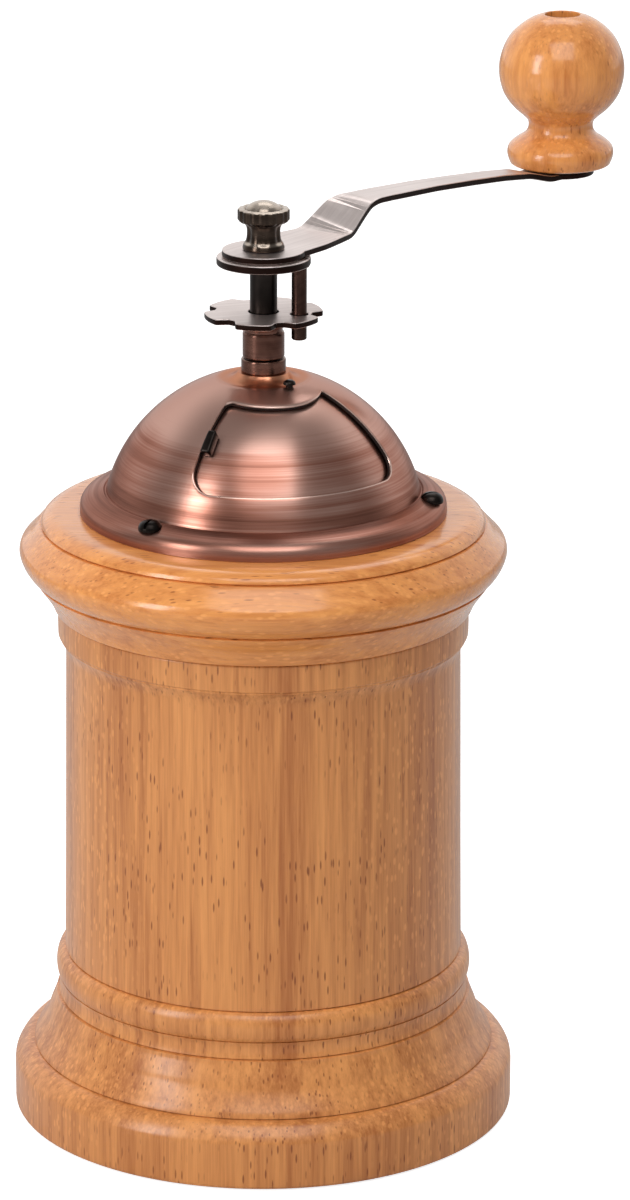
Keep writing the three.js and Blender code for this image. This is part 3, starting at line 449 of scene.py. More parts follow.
def antique_copper(place, dark, warm, bright):
    fine = brush_marks(place, 2600.0, 0.0)
    coarse = brush_marks(place, 420.0, 1.7)
    clouds = place.noise(40.0, 2.0)
    height = place.part(2)
    low = height.between(*LOW_BAND) * height.between(*ABOVE_FLANGE)
    high = height.between(*CROWN_BAND)
    marks = coarse * (low * 0.5 + 0.45) + fine * 0.3
    polish = (marks + clouds * 0.5 - low * 0.3 + high * 0.4 - 0.1).between(0.1, 0.9)
    worn = polish.between(0.4, 1.0).mix(polish.between(0.0, 0.55).mix(dark, warm), bright)
    # Painted highlight: the skirt of the boss under the bearing is coloured bright orange all round, for
    # the orange highlight it catches.
    skirt_sheen = place.stretch((1, 1, 0)).length().between(*SKIRT_SHEEN_REACH)
    return {
        "Base Color": skirt_sheen.mix(worn, COPPER_SKIRT_SHEEN),
        "Metallic": 1.0,
        "Roughness": 0.38 - polish * 0.1,
        "Specular Tint": EDGE_TINT,
        "Anisotropic": 0.55,
        "Anisotropic Rotation": 0.25,
        "Coat Weight": 0.15,
        "Coat Roughness": 0.2,
        "Normal": fine.bump(0.012 * MM, 0.3),
    }


COPPER_DARK = (0.13, 0.047, 0.031, 1)
COPPER_WARM = (0.34, 0.143, 0.100, 1)
COPPER_BRIGHT = (0.60, 0.36, 0.295, 1)
# The orange of the boss skirt is a painted highlight.
COPPER_SKIRT_SHEEN = (0.58, 0.25, 0.14, 1)
copper = finish("antique_copper", antique_copper, COPPER_DARK, COPPER_WARM, COPPER_BRIGHT)


def rubbed_edge_sheen(place):
    """Copper rubbed bright on a rim, made lighter still as a painted highlight where the rim catches the
    light.
    """
    grain = place.noise(700.0, 2.0)
    return {
        "Base Color": grain.mix((0.62, 0.40, 0.33, 1), (0.80, 0.60, 0.52, 1)),
        "Metallic": 1.0,
        "Roughness": 0.34 - grain * 0.1,
    }


def shaded_cut_edge(place):
    """Painted shade: the cut edge of the opening, coloured nearly black for the shadow in the gap behind
    it.
    """
    grain = place.noise(600.0, 2.0)
    return {
        "Base Color": grain.mix((0.012, 0.008, 0.007, 1), (0.035, 0.02, 0.016, 1)),
        "Metallic": 0.6,
        "Roughness": 0.5 + grain * 0.1,
    }


rubbed_sheen_copper = finish("rubbed_sheen_copper", rubbed_edge_sheen)
shaded_cut = finish("shaded_cut", shaded_cut_edge)


def brushed_bar(place, turn):
    """Copper brushed along a bar at this angle. Flat faces get a light colour, a painted sheen of the
    bright backdrop, and steep edges are painted nearly black as painted shade.
    """
    sockets = {"Vector": place, "Rotation": (0, 0, -turn)}
    bar = place.node("ShaderNodeMapping", None, sockets)
    marks = bar.stretch((30.0, 1500.0, 300.0)).noise(1.0, 4.0, 0.6)
    clouds = bar.noise(60.0, 2.0)
    upright = facing(place).part(2)
    # Painted light and shade: faces that look up or down get the light brushed colour, steep faces are
    # painted nearly black.
    face = (upright * upright).between(0.12, 0.5)
    polish = (marks * 0.6 + clouds * 0.5 - 0.05).between(0.1, 0.9)
    flat = polish.mix((0.54, 0.46, 0.435, 1), (0.82, 0.73, 0.70, 1))
    return {
        "Base Color": face.mix((0.02, 0.010, 0.008, 1), flat),
        "Metallic": 1.0,
        "Roughness": 0.44 - marks * 0.1,
        "Normal": marks.bump(0.006 * MM, 0.2),
    }


CRANK_TURN = atan2(knob_axis[1], knob_axis[0])
crank_copper = finish("crank_copper", brushed_bar, CRANK_TURN)
plate_copper = finish("plate_copper", brushed_bar, 0.3)

# %% [markdown]
# ## Small metal parts
# The hub, the nut and the pin are dark bronze, blotched and a little brighter where fingers and the
# lathe have rubbed them, and where they look up their colour turns lighter, a painted sheen of the
# light from above. The screws and the spindle are blackened steel. Parts inside the mill are plain
# satin steel or off-white ceramic.

# %% Bronze, blackened steel and the rest
def dark_bronze(place, dark, rubbed, crown):
    """Dark and rubbed bronze in rings and blotches. Where it looks up it takes the crown colour, a painted
    sheen of the light from above.
    """
    upward = facing(place).part(2)
    rings = brush_marks(place, 900.0, 0.4)
    blotches = place.noise(260.0, 2.0, 0.5)
    rub = (rings * 0.5 + blotches * 0.5).between(0.25, 0.75)
    return {
        "Base Color": upward.between(0.35, 0.85).mix(rub.mix(dark, rubbed), crown),
        "Metallic": 1.0,
        "Roughness": 0.32 - rub * 0.08,
        "Anisotropic": 0.75,
        "Anisotropic Rotation": 0.25,
        "Normal": blotches.bump(0.02 * MM, 0.3),
    }


def metal(place, shade, tint, rough):
    """Plain worked metal: a base shade, a second tint in fine patches, and a grain in its gloss."""
    grain = place.noise(900.0, 3.0, 0.6)
    patches = place.noise(180.0, 2.0).between(0.35, 0.7)
    return {
        "Base Color": (patches * 0.7 + grain * 0.3).mix(shade, tint),
        "Metallic": 1.0,
        "Roughness": rough + grain * 0.12,
        "Normal": grain.bump(0.015 * MM, 0.3),
    }


def burr_ceramic(place):
    grain = place.noise(1200.0, 3.0)
    stain = place.noise(120.0, 2.0).between(0.5, 0.8)
    return {
        "Base Color": stain.mix((0.82, 0.79, 0.72, 1), (0.55, 0.42, 0.30, 1)),
        "Roughness": 0.45 + grain * 0.15,
        "Normal": grain.bump(0.03 * MM, 0.4),
    }


def soft_rubber(place):
    grain = place.noise(1500.0, 2.0)
    return {
        "Base Color": grain.mix((0.018, 0.018, 0.018, 1), (0.04, 0.04, 0.04, 1)),
        "Roughness": 0.7 + grain * 0.15,
        "Normal": grain.bump(0.03 * MM, 0.4),
    }


def pressed_felt(place):
    tufts = place.noise(1100.0, 4.0, 0.7)
    return {
        "Base Color": tufts.mix((0.05, 0.033, 0.024, 1), (0.16, 0.11, 0.08, 1)),
        "Roughness": 0.95,
        "Sheen Weight": 0.4,
        "Normal": tufts.bump(0.2 * MM, 0.8),
    }


# Top colours: painted sheen where the parts look up.
BEIGE_TOP_SHEEN = (0.52, 0.44, 0.37, 1)
DUSKY_TOP_SHEEN = (0.20, 0.13, 0.105, 1)
bronze = finish("dark_bronze", dark_bronze, (0.015, 0.010, 0.008, 1), (0.095, 0.068, 0.052, 1), BEIGE_TOP_SHEEN)
red_bronze = finish("red_bronze", dark_bronze, (0.07, 0.030, 0.022, 1), (0.23, 0.115, 0.087, 1), DUSKY_TOP_SHEEN)
brown_steel = finish("brown_steel", dark_bronze, (0.03, 0.016, 0.013, 1), (0.08, 0.043, 0.033, 1), DUSKY_TOP_SHEEN)
black_steel = finish("black_steel", metal, (0.012, 0.010, 0.009, 1), (0.036, 0.028, 0.025, 1), 0.28)
satin_steel = finish("satin_steel", metal, (0.50, 0.50, 0.50, 1), (0.66, 0.66, 0.65, 1), 0.26)
ceramic = finish("burr_ceramic", burr_ceramic)
rubber = finish("soft_rubber", soft_rubber)
felt = finish("pressed_felt", pressed_felt)

# %% [markdown]
# ## Turning
# Nearly every part of a mill is made on a lathe, so one helper spins a profile once round an upright
# axis. The profile is a list of corners, from the axis or round a closed loop. A third number at a
# corner rounds it, because a rounded edge is what catches the light. A longer curve is drawn through a
# few points.

# %% Helpers for turned pieces
def flow(points, steps=5):
    """A smooth curve through points of (radius, height)."""
    ends = [points[0], *points, points[-1]]
    line = []
    for a, b, c, d in zip(ends, ends[1:], ends[2:], ends[3:]):
        for step in range(steps):
            t = step / steps
            line.append(tuple(
                0.5 * (2 * q + (r - p) * t + (2 * p - 5 * q + 4 * r - s) * t ** 2
                       + (3 * q - p - 3 * r + s) * t ** 3)
                for p, q, r, s in zip(a, b, c, d)
            ))
    line.append(points[-1])
    return line


def on_circle(centre, radius, turns):
    return [(centre[0] + radius * cos(t), centre[1] + radius * sin(t)) for t in turns]


def arc(centre, radius, start, end, steps):
    """Points on a circle about centre, from one angle to another, in degrees."""
    turns = [radians(start + (end - start) * step / steps) for step in range(steps + 1)]
    return on_circle(centre, radius, turns)


def lift(points, height):
    """Moves points of (radius, height) up. What follows their height stays."""
    return [(radius, level + height, *rest) for radius, level, *rest in points]


def soften(corners, steps=4):
    """Rounds each corner that has a third number, and keeps the flats beside it flat."""
    points = []
    for i, (radius, height, *rounding) in enumerate(corners):
        here = Vector((radius, height))
        if not rounding:
            points.append(here)
            continue
        before = Vector(corners[i - 1][:2]) - here
        after = Vector(corners[(i + 1) % len(corners)][:2]) - here
        size = rounding[0]
        start = here + before.normalized() * size
        end = here + after.normalized() * size
        points.append(here + before.normalized() * min(size * 1.6, before.length * 0.7))
        for step in range(steps + 1):
            t = step / steps
            points.append(start * (1 - t) ** 2 + here * (2 * t * (1 - t)) + end * t ** 2)
        points.append(here + after.normalized() * min(size * 1.6, after.length * 0.7))
    return points


def spun(profile, steps=128, axis=(0, 0), loop=False):
    """A closed surface: a profile in millimetres spun once round an upright axis."""
    bm = bmesh.new()
    corners = [bm.verts.new((point[0] * MM, 0, point[1] * MM)) for point in profile]
    pairs = list(zip(corners, corners[1:]))
    if loop:
        pairs.append((corners[-1], corners[0]))
    edges = [bm.edges.new(pair) for pair in pairs]
    bmesh.ops.spin(
        bm, geom=corners + edges, cent=(0, 0, 0), axis=(0, 0, 1),
        angle=2 * pi, steps=steps, use_merge=True,
    )
    bmesh.ops.remove_doubles(bm, verts=bm.verts, dist=0.002 * MM)
    bmesh.ops.translate(bm, verts=bm.verts, vec=(axis[0] * MM, axis[1] * MM, 0))
    bmesh.ops.recalc_face_normals(bm, faces=bm.faces)
    return bm


def thicken(bm, thickness):
    """Gives a sheet its thickness in millimetres, inwards or downwards."""
    bmesh.ops.solidify(bm, geom=bm.faces, thickness=thickness * MM)
    bmesh.ops.recalc_face_normals(bm, faces=bm.faces)


def round_off(bm, edges, size, segments=3):
    return bmesh.ops.bevel(
        bm, geom=edges, offset=size * MM, affect="EDGES", segments=segments, profile=0.5, material=-1,
    )


def sharp_edges(bm, least):
    """The edges whose two faces meet at this angle or more, in radians."""
    return [edge for edge in bm.edges if len(edge.link_faces) == 2 and edge.calc_face_angle() > least]


def saw_across(bm, place, way):
    """Cuts every face along a plane and keeps both sides."""
    everything = bm.verts[:] + bm.edges[:] + bm.faces[:]
    bmesh.ops.bisect_plane(bm, geom=everything, dist=0.001 * MM, plane_co=place, plane_no=way)


def dressed(name, bm, node, material, crease=35, more_materials=()):
    """Turns a bmesh into the piece that stands for a frame node."""
    mesh = bpy.data.meshes.new(name)
    bm.to_mesh(mesh)
    bm.free()
    mesh.shade_smooth()
    mesh.set_sharp_from_angle(angle=radians(crease))
    for paint in (material, *more_materials):
        mesh.materials.append(paint)
    piece = placed(name, mesh)
    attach(piece, body_of_node[node])
    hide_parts(node)
    print(name, "has", len(mesh.polygons), "faces")
    return piece


behaviour = frame["record"]["behaviour"]
body_of_node = {node: body for body, nodes in behaviour["bodies"].items() for node in nodes}
slot_of_node = {part["node"]: part["material_slot"] for part in frame["record"]["subparts"]}

# %% [markdown]
# ## Canister
# The column is one piece of beech: from the ground up a heavy plinth, an ogee that sweeps in, a shallow
# cove, a bead, the tall tapering shaft and a band at the mouth. Crisp creases make it look turned, so
# each crease is a fine V groove, and only the outer edges are rounded.

# %% Turn the canister
BASE_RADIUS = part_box("canister_body")[1][0] / MM
PAD_RECESS = (40.2, 1.2)
CAVITY_RADIUS = 30.0
CAVITY_FLOOR = 13.8
RECESS_RADIUS = 34.2
RECESS_FOOT = levels("neck_ring")[0]
shoulder = flow([
    (47.0, 8.4), (46.85, 9.4), (46.45, 10.25), (45.95, 11.0), (45.3, 11.75), (44.6, 12.3), (43.9, 12.55),
])
ogee = flow([
    (43.3, 12.8), (43.0, 13.6), (42.1, 15.0), (41.2, 16.5), (40.7, 17.5), (40.35, 18.6), (39.95, 19.6),
    (39.5, 20.7), (39.15, 21.6), (39.0, 22.3),
], 3)
cove = flow([(38.55, 22.6), (38.3, 23.6), (38.25, 24.8), (38.45, 25.7)])
bead = flow([(38.5, 25.95), (38.85, 26.9), (38.95, 28.3), (38.7, 29.7), (38.1, 30.75), (37.45, 31.15)])
band = flow([(36.62, 89.3), (36.75, 90.3), (37.15, 91.4), (37.75, 92.4)])
canister_profile = soften([
    (0, PAD_RECESS[1]),
    (*PAD_RECESS, 0.15),
    (PAD_RECESS[0], canister_foot, 0.15),
    (BASE_RADIUS, canister_foot, 0.8),
    *shoulder,
    (42.95, 12.62),
    *ogee,
    (38.15, 22.45),
    *cove,
    (37.95, 25.83),
    *bead,
    (36.9, 31.25), (37.3, 31.45), (37.28, 33), (37.0, 55), (36.75, 78),
    *band,
    (37.74, 92.62), (38.02, 92.95), (38.06, 95.2), (38.0, canister_top, 0.35),
    (RECESS_RADIUS, canister_top, 0.3),
    (RECESS_RADIUS, RECESS_FOOT),
    (CAVITY_RADIUS, RECESS_FOOT, 0.3),
    (CAVITY_RADIUS, CAVITY_FLOOR, 4),
    (0, CAVITY_FLOOR),
])
dressed("turned_canister", spun(canister_profile, 192), "canister_body", satin_beech, 28)

# %% [markdown]
# ## Capital
# The ring that carries the mill is a second piece of beech, glossier than the column. It flares from
# the width of the column to a fat half round, with a fine groove under it and a small step on top where
# the copper flange sits.

# %% Turn the capital
TORUS_FOOT = capital_foot + 6.3
TORUS_TOP = capital_top - 2.35
TORUS_MIDDLE = (TORUS_FOOT + TORUS_TOP) / 2
hollow = flow(lift([(38.75, 0.25), (39.35, 1.6), (40.25, 3.1), (41.35, 4.6), (42.25, 5.9)], capital_foot))
torus = flow([
    *lift([(42.45, 0.1), (43.5, 1.1), (44.45, 2.6)], TORUS_FOOT),
    *lift([(45.0, -0.3), (44.7, 1.1)], TORUS_MIDDLE),
    *lift([(43.9, -2.6), (42.9, -1.6), (42.0, -0.6), (41.3, 0.05)], TORUS_TOP),
])
top_step = [(40.9, -1.7), (40.65, -1.2), (40.2, -0.8), (39.6, -0.45), (38.8, -0.15), (37.8, 0)]
capital_profile = soften([
    (34.2, capital_foot, 0.3),
    (38.6, capital_foot, 0.2),
    *hollow,
    (41.8, TORUS_FOOT - 0.15),
    *torus,
    (40.6, TORUS_TOP + 0.15),
    (40.98, TORUS_TOP + 0.45),
    *flow(lift(top_step, capital_top), 3),
    *lift([(29.7, 0, 0.3), (29.7, -0.7), (28.2, -0.7, 0.3)], capital_top),
    (23.6, 100.75),
    (34.2, 100.75),
])
dressed("turned_capital", spun(capital_profile, 192, loop=True), "capital_ring", glossy_beech, 28)

# %% [markdown]
# ## Knob
# A ball on a flared foot, turned from glossy beech too. Its grain runs upright. Its pin is sunk in a
# straight hole on top.

# %% Turn the knob
ball = flow([
    (9.7, 0.35), (10.15, 1.5), (10.3, 2.6), (9.95, 3.8), (8.7, 4.95), (7.0, 6.1), (6.3, 7.3),
    (6.4, 8.7), (7.5, 9.9), (8.8, 11.0), (9.9, 12.2), (10.75, 13.4), (11.4, 14.7), (11.95, 16.7),
    (12.12, 18.6), (11.98, 20.5), (11.3, 22.9), (10.0, 25.3), (8.1, 27.2), (6.0, 28.6), (4.2, 29.3),
])
knob_profile = soften([
    (2.2, knob_foot, 0.1),
    (9.2, knob_foot, 0.25),
    *lift(ball, knob_foot),
    (3.4, knob_top, 0.3),
    (3.4, knob_top - 4.3),
    (2.2, knob_top - 4.3),
])
dressed("turned_knob", spun(knob_profile, 96, knob_axis, loop=True), "knob", knob_beech, 32)

# %% [markdown]
# ## Dome
# The hopper is spun from sheet: a flange with its edge turned down, a dome, and a boss that sweeps up
# to the bearing. A boolean would leave long thin triangles round the opening for the door, which show on
# polished metal. Instead the rings and spokes of the spun grid are moved until they follow the four
# sides of the opening, and the faces inside are deleted. Then the sheet gets its thickness.

# %% Sizes of the dome
DOME_RADIUS = 29.9
DOME_CENTRE = capital_top - 3.4
FLANGE_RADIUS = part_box("hopper_dome")[1][0] / MM
FLANGE_EDGE_TOP = capital_top + 2.6
FLANGE_TOP = capital_top + 4.2
SHEET = 0.8
OPENING_SIDES = (-120.0, -24.0)
OPENING_ENDS = (26.6, 62.6)
LOW_CORNER = 4.6
TOP_CORNERS = (1.5, 0.7)
TOP_RISES = (2.4, 4.4)
SPOKES = 256
OPENING_SPOKES = 88


def spoke_angle(index):
    """Where a spoke of the grid stands: close together at the two sides of the opening."""
    first, last = OPENING_SIDES
    if index <= OPENING_SPOKES:
        share = index / OPENING_SPOKES
        return first + (last - first) * (1 - cos(pi * share)) / 2
    share = (index - OPENING_SPOKES) / (SPOKES - OPENING_SPOKES)
    return last + (360 - last + first) * (1 - cos(pi * share)) / 2


def corner_lift(inside, corner, elevation):
    """How far, in degrees, a rounded corner bends an edge that is this far inside the side."""
    away = radians(inside) * DOME_RADIUS * cos(radians(elevation))
    if away >= corner:
        return 0.0
    if away >= 0:
        lift = corner - sqrt(corner ** 2 - (corner - away) ** 2)
    else:
        lift = corner * max(0.0, 1 + away / (3 * corner)) ** 2
    return degrees(lift / DOME_RADIUS)


def opening_edges(angle):
    """The elevation of the lower and the upper edge of the opening, at an angle round the dome."""
    centre = sum(OPENING_SIDES) / 2
    half = OPENING_SIDES[1] - centre
    offset = (angle - centre + 180) % 360 - 180
    inside = half - abs(offset)
    right = int(offset > 0)
    fade = max(0.0, 1 + min(inside, 0) / 40)
    rise = TOP_RISES[right] * min(abs(offset) / half, 1) ** 2 * fade
    low, high = OPENING_ENDS
    low += corner_lift(inside, LOW_CORNER, low)
    return low, high + rise - corner_lift(inside, TOP_CORNERS[right], high)


# %% Bend the grid round the opening
def polar(place):
    """The angle of a point round the axis, in degrees, and its distance from the axis."""
    return degrees(atan2(place.y, place.x)), hypot(place.x, place.y)


def remap(value, old, new):
    """Moves a value from its stretch between old marks to the same stretch between new marks."""
    for low, high, new_low, new_high in zip(old, old[1:], new, new[1:]):
        if low <= value <= high:
            return new_low + (new_high - new_low) * (value - low) / (high - low)
    return value


def bend_grid(bm, foot, crown):
    """Moves the rings and spokes between foot and crown, in degrees, to the sides of the opening."""
    low, high = OPENING_ENDS
    for vert in bm.verts:
        even_angle, flat = polar(vert.co)
        angle = spoke_angle(round(even_angle % 360 / (360 / SPOKES)) % SPOKES)
        height = vert.co.z - DOME_CENTRE * MM
        reach = hypot(flat, height)
        elevation = degrees(atan2(height, flat))
        if foot < elevation < crown and abs(reach - DOME_RADIUS * MM) < 0.01 * MM:
            new_marks = (foot, *opening_edges(angle), crown)
            elevation = remap(elevation, (foot, low, high, crown), new_marks)
            flat = reach * cos(radians(elevation))
            vert.co.z = DOME_CENTRE * MM + reach * sin(radians(elevation))
        vert.co.x = flat * cos(radians(angle))
        vert.co.y = flat * sin(radians(angle))


# %% Spin the dome, open it and give it its thickness
FOOT_ANGLE = 15.0
CROWN_ANGLE = 73.5
rows = [
    *arc((0, DOME_CENTRE), DOME_RADIUS, FOOT_ANGLE, OPENING_ENDS[0], 8),
    *arc((0, DOME_CENTRE), DOME_RADIUS, *OPENING_ENDS, 26)[1:],
    *arc((0, DOME_CENTRE), DOME_RADIUS, OPENING_ENDS[1], CROWN_ANGLE, 6)[1:],
]
crown_point = rows[-1]
boss = flow([
    crown_point, (7.6, dome_top - 1.35), (6.7, dome_top - 1.33), (5.9, dome_top - 1.05),
    (5.2, dome_top - 0.55), (4.75, dome_top),
])
dome_profile = [
    *soften([
        (FLANGE_RADIUS - 0.1, capital_top),
        (FLANGE_RADIUS, capital_top + 0.1),
        (FLANGE_RADIUS, FLANGE_EDGE_TOP, 1.6),
        (29.45, FLANGE_TOP - 0.02),
    ], 7),
    (29.22, FLANGE_TOP - 0.2),
    (28.98, FLANGE_TOP - 0.12),
    *rows,
    *boss[1:],
    (3.95, dome_top),
]
dome_middle = Vector((0, 0, DOME_CENTRE * MM))
bm = spun(dome_profile, SPOKES)
bend_grid(bm, FOOT_ANGLE, CROWN_ANGLE)


def in_opening(face):
    """Whether a face of the dome lies inside the opening."""
    place = face.calc_center_median()
    angle, flat = polar(place)
    elevation = degrees(atan2(place.z - DOME_CENTRE * MM, flat))
    low, high = opening_edges(angle)
    return OPENING_SIDES[0] < angle < OPENING_SIDES[1] and low < elevation < high


def face_outward(bm):
    """Turns the faces of a bowl so that they look away from the middle of the dome."""
    if sum(face.normal.dot(face.calc_center_median() - dome_middle) for face in bm.faces) < 0:
        bmesh.ops.reverse_faces(bm, faces=bm.faces)


opening = [face for face in bm.faces if in_opening(face)]
bmesh.ops.delete(bm, geom=opening, context="FACES")
face_outward(bm)
thicken(bm, SHEET)
print("opening took", len(opening), "faces")

# %% [markdown]
# The cut edge of the opening is painted nearly black, painted shade for the gap behind it, and its outer
# rim is rubbed bright, with a painted highlight. The faces of the cut are found by their distance from
# the middle of the ball: half way between the two sides of the sheet.

# %% Mark the cut edge and round its rim
SHADED_CUT_SLOT = 1
BRIGHT_SLOT = 2
RIM = 0.26


def reach_of(place):
    """Distance from the middle of the dome, in millimetres."""
    return (place - dome_middle).length / MM


half_way = DOME_RADIUS - SHEET / 2
cut_faces = [
    face for face in bm.faces
    if abs(reach_of(face.calc_center_median()) - half_way) < SHEET / 3
    and FLANGE_TOP + 2 < face.calc_center_median().z / MM < dome_top - 2
]
# Painted shade on the faces of the cut.
for face in cut_faces:
    face.material_index = SHADED_CUT_SLOT
rim = {
    edge for face in cut_faces for edge in face.edges
    if min(reach_of(vert.co) for vert in edge.verts) > DOME_RADIUS - 0.2
}
# The rounded rim gets the rubbed copper, with its painted highlight.
for face in round_off(bm, list(rim), RIM, 2)["faces"]:
    face.material_index = BRIGHT_SLOT
dressed("copper_dome", bm, "hopper_dome", copper, 38, (shaded_cut, rubbed_sheen_copper))
print(len(cut_faces), "faces in the cut,", len(rim), "edges in its rim")

# %% [markdown]
# ## Door
# The door is a second shell just under the dome. It hangs from a ring round the bearing and slides
# round inside, so it is spun in full, and then everything below its ring that isn't door is deleted.

# %% Spin the door
DOOR_RADIUS = DOME_RADIUS - SHEET - 0.25
DOOR_SHEET = 0.9
DOOR_SIDES = (-125.0, -19.0)
DOOR_FOOT = 22.2
EYE_RADIUS = 9.0
EYE_HOLE = 4.3
eye_angle = degrees(acos(EYE_RADIUS / DOOR_RADIUS))
hole_angle = degrees(acos(EYE_HOLE / DOOR_RADIUS))
door_profile = [
    *arc((0, DOME_CENTRE), DOOR_RADIUS, DOOR_FOOT, eye_angle, 28),
    *arc((0, DOME_CENTRE), DOOR_RADIUS, eye_angle, hole_angle, 4)[1:],
]
bm = spun(door_profile, 360)


def off_door(face):
    """Whether a face lies outside the door and its ring."""
    angle, flat = polar(face.calc_center_median())
    return not DOOR_SIDES[0] < angle < DOOR_SIDES[1] and flat > EYE_RADIUS * MM


bmesh.ops.delete(bm, geom=[face for face in bm.faces if off_door(face)], context="FACES")
face_outward(bm)
thicken(bm, DOOR_SHEET)
dressed("copper_door", bm, "hopper_door", copper, 38)

# %% [markdown]
# ## Finger tab
# A small dark block on the left edge of the door, for the fingernail. It is part of a ball too, so it
# is a short spin of a closed outline, with its edges rounded by a bevel.

# %% Make the tab
TAB_SIDES = (-119.0, -114.4)
TAB_ENDS = (41.0, 49.5)
TAB_RADII = (DOOR_RADIUS + 0.05, 31.5)
outline = [
    *arc((0, DOME_CENTRE), TAB_RADII[1] - 0.5, TAB_ENDS[0], TAB_ENDS[1], 10),
    *arc((0, DOME_CENTRE), TAB_RADII[0], TAB_ENDS[1], TAB_ENDS[0], 10),
]
bm = bmesh.new()
corners = [bm.verts.new((radius * MM, 0, height * MM)) for radius, height in outline]
bm.faces.new(corners)
bmesh.ops.rotate(bm, verts=bm.verts, matrix=Matrix.Rotation(radians(TAB_SIDES[0]), 3, "Z"))
bmesh.ops.spin(
    bm, geom=bm.faces[:], cent=(0, 0, 0), axis=(0, 0, 1),
    angle=radians(TAB_SIDES[1] - TAB_SIDES[0]), steps=4, use_merge=False,
)
bmesh.ops.remove_doubles(bm, verts=bm.verts, dist=0.001 * MM)
bmesh.ops.recalc_face_normals(bm, faces=bm.faces)
round_off(bm, sharp_edges(bm, 0.7), 0.35)
dressed("finger_tab", bm, "door_tab", black_steel, 40)

# %% [markdown]
# ## Bearing, hub, pin and spindle
# These sit above the dome. All are turned: a plain collar, a drum with a flare under the wheel, a
# straight pin and the spindle itself.

# %% Turn the bearing collar, the hub, the pin and the spindle
BUSH_BORE = 2.8
BUSH_SHANK = 3.7
BUSH_FOOT = levels("spindle_bush")[0]
bush_profile = soften([
    (BUSH_BORE, BUSH_FOOT), (BUSH_SHANK, BUSH_FOOT), (BUSH_SHANK, dome_top + 0.02),
    (4.1, dome_top + 0.02, 0.15), (4.1, collar_top, 0.35), (BUSH_BORE, collar_top),
])
dressed("turned_bush", spun(bush_profile, 64, loop=True), "spindle_bush", red_bronze)
hub_profile = soften([
    (BUSH_BORE, hub_foot), (3.85, hub_foot, 0.35), (3.85, hub_foot + 4.6, 0.25), (3.5, hub_foot + 4.9),
    (3.5, hub_foot + 5.3), (3.9, hub_foot + 6.0), (4.35, hub_top - 0.5, 0.2), (4.35, hub_top, 0.2),
    (BUSH_BORE, hub_top),
])
dressed("turned_hub", spun(hub_profile, 64, loop=True), "adjusting_hub", red_bronze)
PIN_RADIUS = 1.4
pin_profile = soften([
    (0, pin_foot), (PIN_RADIUS, pin_foot, 0.35), (PIN_RADIUS, disc_top - 0.02, 0.15), (0, disc_top - 0.02),
])
dressed("turned_pin", spun(pin_profile, 40, middle("stopper_pin")), "stopper_pin", brown_steel)
SPINDLE_RADIUS = 2.5
SPINDLE_FOOT, SPINDLE_TOP = levels("spindle")
CRANK_THICKNESS = 1.2
crank_top = disc_top + 0.1 + CRANK_THICKNESS
spindle_profile = soften([
    (0, SPINDLE_FOOT), (1.89, SPINDLE_FOOT, 0.3), (1.89, SPINDLE_FOOT + 4.0), (2.1, SPINDLE_FOOT + 4.1),
    (2.1, levels("inner_burr")[1]), (SPINDLE_RADIUS, levels("inner_burr")[1] + 0.2),
    (SPINDLE_RADIUS, crank_top, 0.2), (1.9, crank_top), (1.9, SPINDLE_TOP, 0.2), (0, SPINDLE_TOP),
])
dressed("turned_spindle", spun(spindle_profile, 48), "spindle", black_steel)

# %% [markdown]
# ## Flat parts
# The wheel, the disc and the crank are cut from sheet. Each starts as an outline with its holes, which
# is filled, given its thickness, and bevelled along its rims. A plate must shine as one flat mirror, so
# even the slight crease where the bevel starts is kept sharp.

# %% Helper for flat parts
PLATE_CREASE = 12


def round_hole(centre, radius, count=40):
    """A ring of points round a hole."""
    return on_circle(centre, radius, [2 * pi * step / count for step in range(count)])


def sheet_metal(outlines, stations=()):
    """A flat sheet at height 0, filled between its outline and its holes, cut across at stations."""
    bm = bmesh.new()
    for outline in outlines:
        ring = [bm.verts.new((x * MM, y * MM, 0)) for x, y in outline]
        for pair in zip(ring, ring[1:] + ring[:1]):
            bm.edges.new(pair)
    bmesh.ops.triangle_fill(bm, use_beauty=True, use_dissolve=False, edges=bm.edges[:])
    for station in stations:
        saw_across(bm, (station * MM, 0, 0), (1, 0, 0))
    for face in bm.faces:
        if face.normal.z < 0:
            face.normal_flip()
    return bm


def make_plate(bm, thickness, edge):
    """Gives a flat sheet its thickness and rounds its rims."""
    thicken(bm, thickness)
    round_off(bm, sharp_edges(bm, 1.0), edge)


# %% Cut the grind wheel
WHEEL_RADIUS = 10.85
NOTCHES = 6
NOTCH_FLOOR = 8.9
NOTCH_FLAT = 0.7
NOTCH_MOUTH = 2.7
FIRST_NOTCH = radians(-10)
WHEEL_POINTS = 216
pin_axis = middle("stopper_pin")


def wheel_outline():
    """A round rim with shallow notches for the fingers."""
    points = []
    pitch = 2 * pi / NOTCHES
    for step in range(WHEEL_POINTS):
        turn = 2 * pi * step / WHEEL_POINTS
        place = (turn - FIRST_NOTCH) / pitch
        away = abs(place - round(place)) * pitch * WHEEL_RADIUS
        share = min(max((away - NOTCH_FLAT) / (NOTCH_MOUTH - NOTCH_FLAT), 0), 1)
        radius = NOTCH_FLOOR + (WHEEL_RADIUS - NOTCH_FLOOR) * share * share * (3 - 2 * share)
        points.append((radius * cos(turn), radius * sin(turn)))
    return points


bm = sheet_metal([
    wheel_outline(), round_hole((0, 0), BUSH_BORE), round_hole(pin_axis, PIN_RADIUS + 0.3, 32),
])
bmesh.ops.translate(bm, verts=bm.verts, vec=(0, 0, wheel_top * MM))
make_plate(bm, wheel_top - hub_top, 0.22)
dressed("grind_wheel", bm, "adjusting_wheel", plate_copper, PLATE_CREASE)

